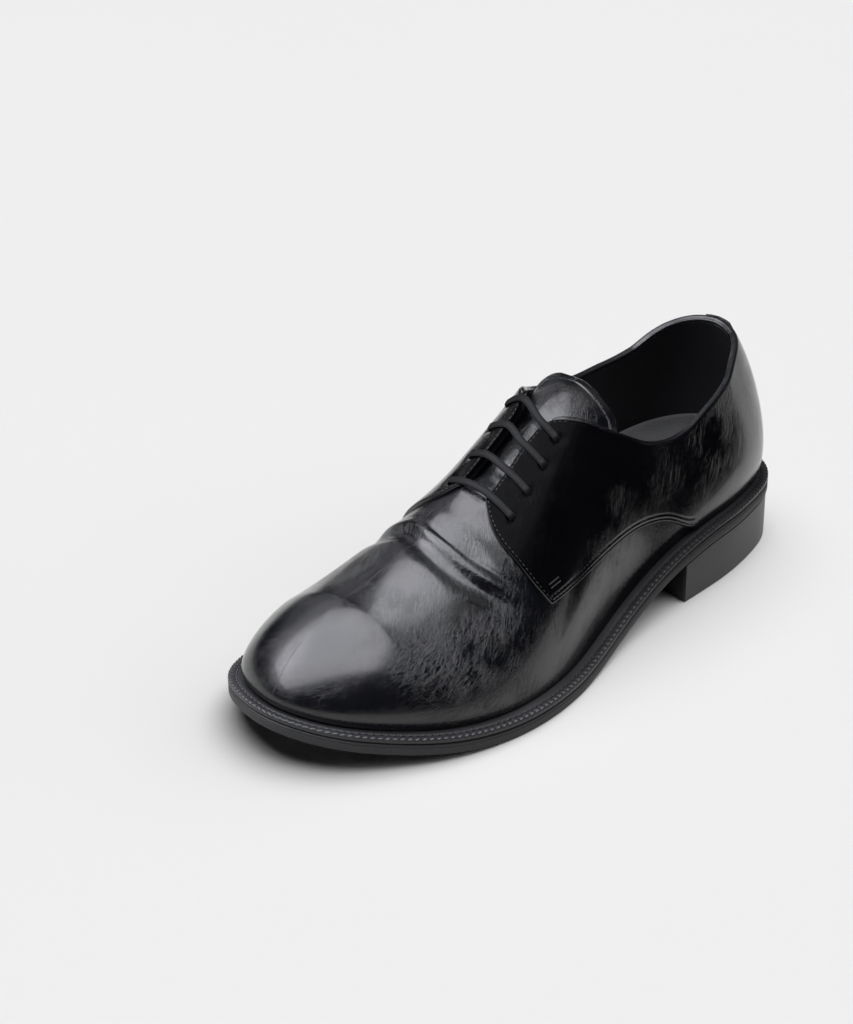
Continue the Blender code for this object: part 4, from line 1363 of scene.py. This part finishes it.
def makeLace(row):
    forth, back = laceLeg(row, outer), laceLeg(row, inner)[::-1]
    rows = forth + back
    path, wide = np.array([r[0] for r in rows]), np.array([r[1] for r in rows])
    spans = runAlong(path)
    where = np.linspace(0, spans[-1], laceSizes["along"])
    path = np.stack([throughRows(spans, path[:, a])(where) for a in range(3)], 1)
    wide = np.stack([np.interp(where, spans, wide[:, a]) for a in range(3)], 1)
    path[:, 2] += laceSizes["arch"] * mm * np.sin(np.linspace(0, pi, len(path))) ** 2
    along = np.gradient(path, axis=0)
    along /= np.linalg.norm(along, axis=1)[:, None]
    broad = wide - along * (wide * along).sum(1)[:, None]
    broad /= np.linalg.norm(broad, axis=1)[:, None]
    thick = np.cross(broad, along)
    around = laceSizes["around"]
    rings = []
    for k in range(around):
        turn = 2 * pi * k / around
        a = np.sign(cos(turn)) * abs(cos(turn)) ** 0.6 * laceSizes["wide"] / 2
        b = np.sign(sin(turn)) * abs(sin(turn)) ** 0.7 * laceSizes["thick"] / 2
        rib = laceSizes["ribDepth"] * cos(2 * pi * laceSizes["ribs"] * a / laceSizes["wide"]) * abs(sin(turn))
        rings.append(path + broad * a * mm + thick * (b + np.sign(b) * rib) * mm)
    grid = np.array(rings).transpose(1, 0, 2)
    rows, count = grid.shape[:2]
    faces = gridFaces(rows, count, closedAcross=True).tolist()
    faces += [list(range(count))[::-1], [(rows - 1) * count + k for k in range(count)]]
    thing = makePiece(f"lace_bar_{row + 1}", grid.reshape(-1, 3), faces, [cord], weld=0)
    finishPiece(thing, [f"lace_{row + 1}"])


for laceRow in range(len(eyeletRows)):
    makeLace(laceRow)

# Welt

weltSizes = {
    "tooth": 2.95,
    "toothHigh": 0.42,
    "bite": 0.16,
    "perTooth": 8,
    "stitchIn": 3.35,
    "stitchDown": 0.22,
}
weltThread = {"length": 2.35, "wide": 0.85, "thick": 0.7}

# distance in from the edge, height under the welt's top, share of the tooth
weltProfile = [
    (8.3, -2.2, 0),
    (0.0, -2.2, 0),
    (0.0, -1.3, 0),
    (0.02, -0.75, 0.35),
    (0.15, -0.35, 0.9),
    (0.45, -0.12, 1.0),
    (0.9, -0.05, 1.0),
    (1.5, -0.05, 1.0),
    (2.1, -0.1, 0.9),
    (2.6, -0.25, 0.4),
    (2.9, -0.42, 0.0),
    (3.25, -0.5, 0.0),
    (3.7, -0.42, 0.0),
    (4.1, -0.15, 0.0),
    (4.6, -0.03, 0.0),
    (8.3, 0.0, 0),
]


def evenOutline(count):
    closed = np.vstack([fineOutline, fineOutline[:1]])
    spans = runAlong(closed)
    where = np.linspace(0, spans[-1], count, endpoint=False)
    return np.stack([np.interp(where, spans, closed[:, a]) for a in range(2)], 1), spans[-1]


def makeWelt():
    sizes = weltSizes
    length = evenOutline(8)[1]
    teeth = int(length / (sizes["tooth"] * mm))
    count = teeth * sizes["perTooth"]
    curve = evenOutline(count)[0]
    way = inwards(curve)
    phase = np.arange(count) % sizes["perTooth"] / sizes["perTooth"]
    ridge = np.cos(2 * pi * phase) * 0.5 + 0.5
    ridge = ridge**0.8
    rings = []
    for inset, height, share in weltProfile:
        bite = sizes["bite"] * (1 - ridge) * (1.0 if 0 < share and inset < 0.5 else 0.0)
        xy = curve + way * ((inset + bite) * mm)[:, None]
        z = weltTop(xy[:, 1]) + height * mm - (1 - ridge) * share * sizes["toothHigh"] * mm
        rings.append(np.column_stack([xy[:, 0] + xShift, xy[:, 1], z]))
    grid = np.array(rings)
    faces = gridFaces(len(weltProfile), count, closedRows=True, closedAcross=True)
    thing = makePiece("welt_strip", grid.reshape(-1, 3), faces, [waxedWelt], crease=45)
    finishPiece(thing, ["welt"])
    x, y = (curve + way * (sizes["stitchIn"] * mm)).T
    path = np.column_stack([x + xShift, y, weltTop(y) - sizes["stitchDown"] * mm])
    path = np.vstack([path, path[:1]])
    normals = np.tile((0.0, 0.0, 1.0), (len(path), 1))
    row = threadRow(path, normals, {"pitch": length / teeth / mm, **weltThread})
    finishPiece(joinRows("stitching_welt", [row], thread), [])


makeWelt()

# Outsole, heel and insole


def ringPlate(name, rings, finish, crease):
    # rings of the same outline from the lowest to the highest, capped by strips across
    points = [np.asarray(ring) for ring in rings]
    count = len(points[0])
    grid = np.vstack(points)
    faces = gridFaces(len(points), count, closedAcross=True).tolist()
    half = count // 2
    for base, flip in ((0, True), ((len(points) - 1) * count, False)):
        for k in range(half):
            strip = [base + k, base + k + 1, base + (count - k - 1) % count, base + (count - k) % count]
            strip = list(dict.fromkeys(strip))
            if len(strip) > 2:
                faces.append(strip[::-1] if flip else strip)
    return makePiece(name, grid, faces, [finish], crease=crease)


def flatRing(curve, inset, height):
    xy = curve + inwards(curve) * inset * mm
    return np.column_stack([xy[:, 0] + xShift, xy[:, 1], height(xy[:, 1])])


def pairedOutline(count):
    # the outline as matching outer and inner points at the same places along the foot
    y = soleSizes["length"] / 2 * np.cos(np.linspace(0, pi, count))
    heel, toe = int(fineOutline[:, 1].argmax()), int(fineOutline[:, 1].argmin())
    turned = np.roll(fineOutline, -heel, 0)
    split = (toe - heel) % len(turned)
    outerHalf, innerHalf = turned[: split + 1], np.vstack([turned[split:], turned[:1]])
    xOuter = np.interp(y[::-1], outerHalf[::-1, 1], outerHalf[::-1, 0])[::-1]
    xInner = np.interp(y, innerHalf[:, 1], innerHalf[:, 0])
    forth = np.column_stack([xOuter, y])
    back = np.column_stack([xInner, y])[-2:0:-1]
    return np.vstack([forth, back])


outsoleProfile = [  # inset, height over the tread
    (0.8, 0.0), (0.35, 0.14), (0.08, 0.45), (0.0, 0.9), (0.0, 1.6), (0.03, 2.6), (0.05, 3.45),
    (0.22, 3.6), (0.22, 3.75), (0.04, 3.9), (0.0, 4.25), (0.03, 4.6), (0.3, 4.95), (0.9, 5.2), (0.9, 5.5),
]


def makeOutsole():
    curve = pairedOutline(420)
    rings = []
    for inset, height in outsoleProfile:
        rings.append(flatRing(curve, inset, lambda y, h=height: treadHeight(y) + h * mm))
    thing = ringPlate("outsole_rubber", rings, rubber, 40)
    finishPiece(thing, ["outsole"])


heelSizes = {
    "inset": 0.6,
    "foot": [(1.4, 0.0), (0.95, 0.1), (0.68, 0.4), (0.6, 0.9)],  # inset, height over the floor
    "wall": (0.25, 0.5, 0.75, 0.93),  # shares of the height
    "seat": [(0.62, 0.9), (0.95, 0.7), (0.95, 0.45), (0.7, 0.3), (0.7, 0.0)],  # inset, depth under the sole
    "around": 260,
    "across": 60,
}


def heelRing(inset):
    # the outline behind the breast's arc, closed along the arc
    breast = soleSizes["length"] / 2 - soleSizes["heelLength"]
    hollow, half = soleSizes["breastHollow"], soleSizes["heelWidth"] / 2
    radius = (half**2 + hollow**2) / (2 * hollow)
    centreY = breast + hollow - radius
    turned = np.roll(fineOutline, -int(fineOutline[:, 1].argmin()), 0)
    xy = turned + inwards(turned) * inset * mm
    arc = centreY + np.sqrt(np.maximum(radius**2 - xy[:, 0] ** 2, 0))
    extra = max(inset - heelSizes["inset"], 0) * mm
    keep = xy[:, 1] > arc + extra
    body = xy[keep]
    jumps = np.where(np.diff(np.where(keep)[0]) > 1)[0]
    if len(jumps):
        body = np.roll(body, -(jumps[0] + 1), 0)
    spans = runAlong(body)
    where = np.linspace(0, spans[-1], heelSizes["around"])
    body = np.stack([np.interp(where, spans, body[:, a]) for a in range(2)], 1)
    x = np.linspace(body[-1, 0], body[0, 0], heelSizes["across"] + 2)[1:-1]
    front = np.column_stack([x, centreY + np.sqrt(radius**2 - x**2) + extra])
    return np.vstack([body, front])


def makeHeel():
    sizes = heelSizes
    rows = []

    def addRow(outline, height):
        rows.append(np.column_stack([outline[:, 0] + xShift, outline[:, 1], height]))

    for inset, height in sizes["foot"]:
        outline = heelRing(inset)
        addRow(outline, np.full(len(outline), height * mm))
    outline = heelRing(sizes["inset"])
    for part in sizes["wall"]:
        addRow(outline, (treadHeight(outline[:, 1]) - soleSizes["clear"] / 2) * part)
    for inset, down in sizes["seat"]:
        outline = heelRing(inset)
        addRow(outline, treadHeight(outline[:, 1]) - soleSizes["clear"] / 2 - down * mm)
    count = len(outline)
    faces = gridFaces(len(rows), count, closedAcross=True).tolist()
    faces.append(list(range(count))[::-1])
    faces.append([(len(rows) - 1) * count + k for k in range(count)])
    thing = makePiece("heel_stack", np.vstack(rows), faces, [heelBlock], crease=35)
    finishPiece(thing, ["heel"])


sockSizes = {"heelPad": 14.0, "padFrom": 0.015, "padFull": 0.085}


def makeInsole():
    curve = pairedOutline(200)
    sizes = sockSizes
    inset = (soleSizes["reveal"] + lastSizes["wall"]) / mm + 0.5

    def level(y, high):
        way = np.clip((y - sizes["padFrom"]) / (sizes["padFull"] - sizes["padFrom"]), 0, 1)
        return weltBottom(y) + (high + sizes["heelPad"] * way * way * (3 - 2 * way)) * mm

    rings = [flatRing(curve, inset, weltBottom)]
    for extra, high in ((0.0, 4.2), (0.6, 4.5), (4.0, 4.2), (9.0, 3.2)):
        rings.append(flatRing(curve, inset + extra, lambda y, h=high: level(y, h)))
    thing = ringPlate("sock_lining", rings, sock, 60)
    finishPiece(thing, ["insole"])


makeOutsole()
makeHeel()
makeInsole()

# Floor, light and camera

stageSizes = {"floor": 8.0, "floorShade": 0.80}


def makeFloor():
    size = stageSizes["floor"] / 2
    mesh = bpy.data.meshes.new("floor")
    mesh.from_pydata(
        [(-size, -size, 0), (size, -size, 0), (size, size, 0), (-size, size, 0)],
        [],
        [(0, 1, 2, 3)],
    )
    floor = bpy.data.objects.new("floor", mesh)
    bpy.context.scene.collection.objects.link(floor)
    made, b, shader = newMaterial("studio floor")
    place = b.add("ShaderNodeTexCoord").outputs["Object"]
    soft = b.noise(place, 3.0, 2.0, 0.5)
    shade = stageSizes["floorShade"]
    colour = b.mix(soft, (shade, shade, shade, 1), (shade * 0.99, shade * 0.99, shade * 0.99, 1))
    b.tree.links.new(colour, shader.inputs["Base Color"])
    shader.inputs["Roughness"].default_value = 0.9
    shader.inputs["Specular IOR Level"].default_value = 0.1
    mesh.materials.append(made)


makeFloor()

# The soft box lies over the vamp: its middle along the azimuth and across it, both sides, height,
# width of the soft edge and brightness. The round box over the heel fades between two half angles.
softBox = {
    "azimuth": -135,
    "along": 0.34,
    "across": 0.108,
    "length": 0.82,
    "width": 0.50,
    "height": 0.33,
    "fade": 0.05,
    "level": 4.9,
}
heelBox = {"azimuth": 75, "elevation": 66, "full": 15, "gone": 42, "level": 0.4}
roomGlow = {
    "above": {"azimuth": -60, "elevation": 75, "full": 10, "gone": 50, "level": 0.2},
    "leftFront": {"azimuth": -145, "elevation": 36, "full": 6, "gone": 24, "level": 2.0},
    "leftBack": {"azimuth": 155, "elevation": 30, "full": 5, "gone": 22, "level": 0.5},
    "everywhere": 0.02,
}
tableLights = {  # they light the floor evenly and stay out of the reflections
    "tableBack": {"azimuth": 55, "elevation": 48, "angle": 80, "level": 1.35},
    "tableTop": {"azimuth": 110, "elevation": 82, "angle": 70, "level": 2.45},
}
darkCards = {  # x, from y, to y, height
    "besideHeel": (0.080, 0.02, 0.25, 0.30),
    "farSide": (0.390, -0.30, 1.40, 0.55),
}
cardLook = {
    "scale": 60.0,
    "spread": 0.05,
    "rough": 0.95,
    "dark": (0.002, 0.002, 0.002),
    "light": (0.004, 0.004, 0.004),
    "bump": 0.1,
    "depth": 0.0002,
    "specular": 0.0,
}
boxDistance = 1.2
coolWhite = (0.93, 0.94, 1.0)


def towards(spec):
    turn, lift = radians(spec["azimuth"]), radians(spec["elevation"])
    return Vector((cos(turn) * cos(lift), sin(turn) * cos(lift), sin(lift)))


def makeRoundBox(name, spec, receivers):
    radius = boxDistance * np.tan(radians(spec["gone"]))
    data = bpy.data.lights.new(name, "AREA")
    data.shape = "DISK"
    data.size = 2 * radius
    data.energy = spec["level"] * pi * pi * radius**2
    light = bpy.data.objects.new(name, data)
    light.location = towards(spec) * boxDistance
    light.rotation_euler = towards(spec).to_track_quat("Z", "Y").to_euler()
    light.light_linking.receiver_collection = receivers
    bpy.context.scene.collection.objects.link(light)
    data.use_nodes = True
    b = NodeBench(data.node_tree)
    place = b.add("ShaderNodeNewGeometry").outputs["Parametric"]
    flat = b.mapped(place, (1, 1, 0))
    away = b.add("ShaderNodeVectorMath", {0: flat, 1: (0.5, 0.5, 0)}, operation="DISTANCE").outputs["Value"]
    fullPart = 0.5 * np.tan(radians(spec["full"])) / np.tan(radians(spec["gone"]))
    values = {"Value": away, "From Min": 0.5, "From Max": fullPart}
    fade = b.add("ShaderNodeMapRange", values, interpolation_type="SMOOTHSTEP")
    b.tree.links.new(fade.outputs["Result"], data.node_tree.nodes["Emission"].inputs["Strength"])


def makeNearBox(receivers):
    spec = softBox
    turn = radians(spec["azimuth"])
    data = bpy.data.lights.new("soft box", "AREA")
    data.shape = "RECTANGLE"
    data.size, data.size_y = spec["length"], spec["width"]
    data.energy = spec["level"] * pi * spec["length"] * spec["width"]
    data.color = coolWhite
    light = bpy.data.objects.new("soft box", data)
    x = cos(turn) * spec["along"] - sin(turn) * spec["across"]
    y = sin(turn) * spec["along"] + cos(turn) * spec["across"]
    light.location = (x, y, spec["height"])
    light.rotation_euler = (0, 0, turn)
    light.visible_camera = False
    light.light_linking.receiver_collection = receivers
    bpy.context.scene.collection.objects.link(light)
    data.use_nodes = True
    b = NodeBench(data.node_tree)
    place = b.add("ShaderNodeSeparateXYZ", {0: b.add("ShaderNodeNewGeometry").outputs["Parametric"]})
    total = 1.0
    for axis, size in (("X", spec["length"]), ("Y", spec["width"])):
        inside = b.math("SUBTRACT", 0.5, b.math("ABSOLUTE", b.math("SUBTRACT", place.outputs[axis], 0.5)))
        fade = b.add(
            "ShaderNodeMapRange",
            {"Value": inside, "From Min": 0.0, "From Max": spec["fade"] / size},
            interpolation_type="SMOOTHSTEP",
        )
        total = b.math("MULTIPLY", fade.outputs["Result"], total)
    b.tree.links.new(total, data.node_tree.nodes["Emission"].inputs["Strength"])


def makeLight():
    receivers = bpy.data.collections.new("under the soft boxes")
    for thing in bpy.context.scene.objects:
        if thing.type == "MESH" and thing.name != "floor" and not thing.name.startswith("quarter_"):
            receivers.objects.link(thing)
    makeNearBox(receivers)
    makeRoundBox("heel box", heelBox, receivers)
    for name, spec in tableLights.items():
        data = bpy.data.lights.new(name, "SUN")
        data.energy = spec["level"]
        data.angle = radians(spec["angle"])
        light = bpy.data.objects.new(name, data)
        light.location = towards(spec)
        light.rotation_euler = towards(spec).to_track_quat("Z", "Y").to_euler()
        light.visible_glossy = False
        bpy.context.scene.collection.objects.link(light)
    world = bpy.data.worlds.new("studio")
    world.use_nodes = True
    world.cycles_visibility.diffuse = False
    b = NodeBench(world.node_tree)
    way = b.add("ShaderNodeTexCoord").outputs["Generated"]
    total = roomGlow["everywhere"]
    for name in ("above", "leftFront", "leftBack"):
        spec = roomGlow[name]
        near = b.add(
            "ShaderNodeVectorMath",
            {0: way, 1: towards(spec)},
            operation="DOT_PRODUCT",
        ).outputs["Value"]
        edge = b.add(
            "ShaderNodeMapRange",
            {
                "Value": near,
                "From Min": cos(radians(spec["gone"])),
                "From Max": cos(radians(spec["full"])),
                "To Max": spec["level"],
            },
            interpolation_type="SMOOTHSTEP",
        )
        total = b.math("ADD", edge.outputs["Result"], total)
    shader = world.node_tree.nodes["Background"]
    shader.inputs["Color"].default_value = (*coolWhite, 1)
    b.tree.links.new(total, shader.inputs["Strength"])
    bpy.context.scene.world = world
    bpy.context.scene.view_settings.view_transform = "Standard"


makeLight()


def makeCards():
    # black cards beside the shoe that only reflections see, as a photographer stands them up
    felt = fleckMaterial("card felt", cardLook)
    for name, (x, y0, y1, high) in darkCards.items():
        mesh = bpy.data.meshes.new(name)
        mesh.from_pydata([(x, y0, 0.001), (x, y1, 0.001), (x, y1, high), (x, y0, high)], [], [(0, 1, 2, 3)])
        card = bpy.data.objects.new(name, mesh)
        bpy.context.scene.collection.objects.link(card)
        mesh.materials.append(felt)
        card.visible_camera = False
        card.visible_diffuse = False
        card.visible_shadow = False


makeCards()

# degrees, metres, and pixels of the picture
cameraFit = {
    "picture": (853, 1024),
    "azimuth": 43.72,
    "elevation": 28.07,
    "roll": 0.62,
    "distance": 1.0,
    "focal": 2297.15,
    "originAt": (528.33, 621.01),
}


def makeCamera():
    fit = cameraFit
    a, e, r = radians(fit["azimuth"]), radians(fit["elevation"]), radians(fit["roll"])
    back = Vector((sin(a) * cos(e), -cos(a) * cos(e), sin(e)))
    right = Vector((cos(a), sin(a), 0))
    up = back.cross(right)
    wide, high = fit["picture"]
    ox, oy = fit["originAt"][0] - wide / 2, -(fit["originAt"][1] - high / 2)
    across, above = cos(r) * ox + sin(r) * oy, -sin(r) * ox + cos(r) * oy
    scale = fit["distance"] / fit["focal"]
    place = back * fit["distance"] - right * (across * scale) - up * (above * scale)
    rolledRight, rolledUp = right * cos(r) - up * sin(r), right * sin(r) + up * cos(r)
    data = bpy.data.cameras.new("camera")
    data.sensor_width = 36
    data.lens = fit["focal"] / high * data.sensor_width
    data.clip_start, data.clip_end = 0.05, 50
    camera = bpy.data.objects.new("camera", data)
    turn = Matrix((rolledRight, rolledUp, back)).transposed()
    camera.matrix_world = Matrix.Translation(place + Vector((xShift, 0, 0))) @ turn.to_4x4()
    bpy.context.scene.collection.objects.link(camera)
    bpy.context.scene.camera = camera


makeCamera()
print("stage ready")

bpy.context.view_layer.update()
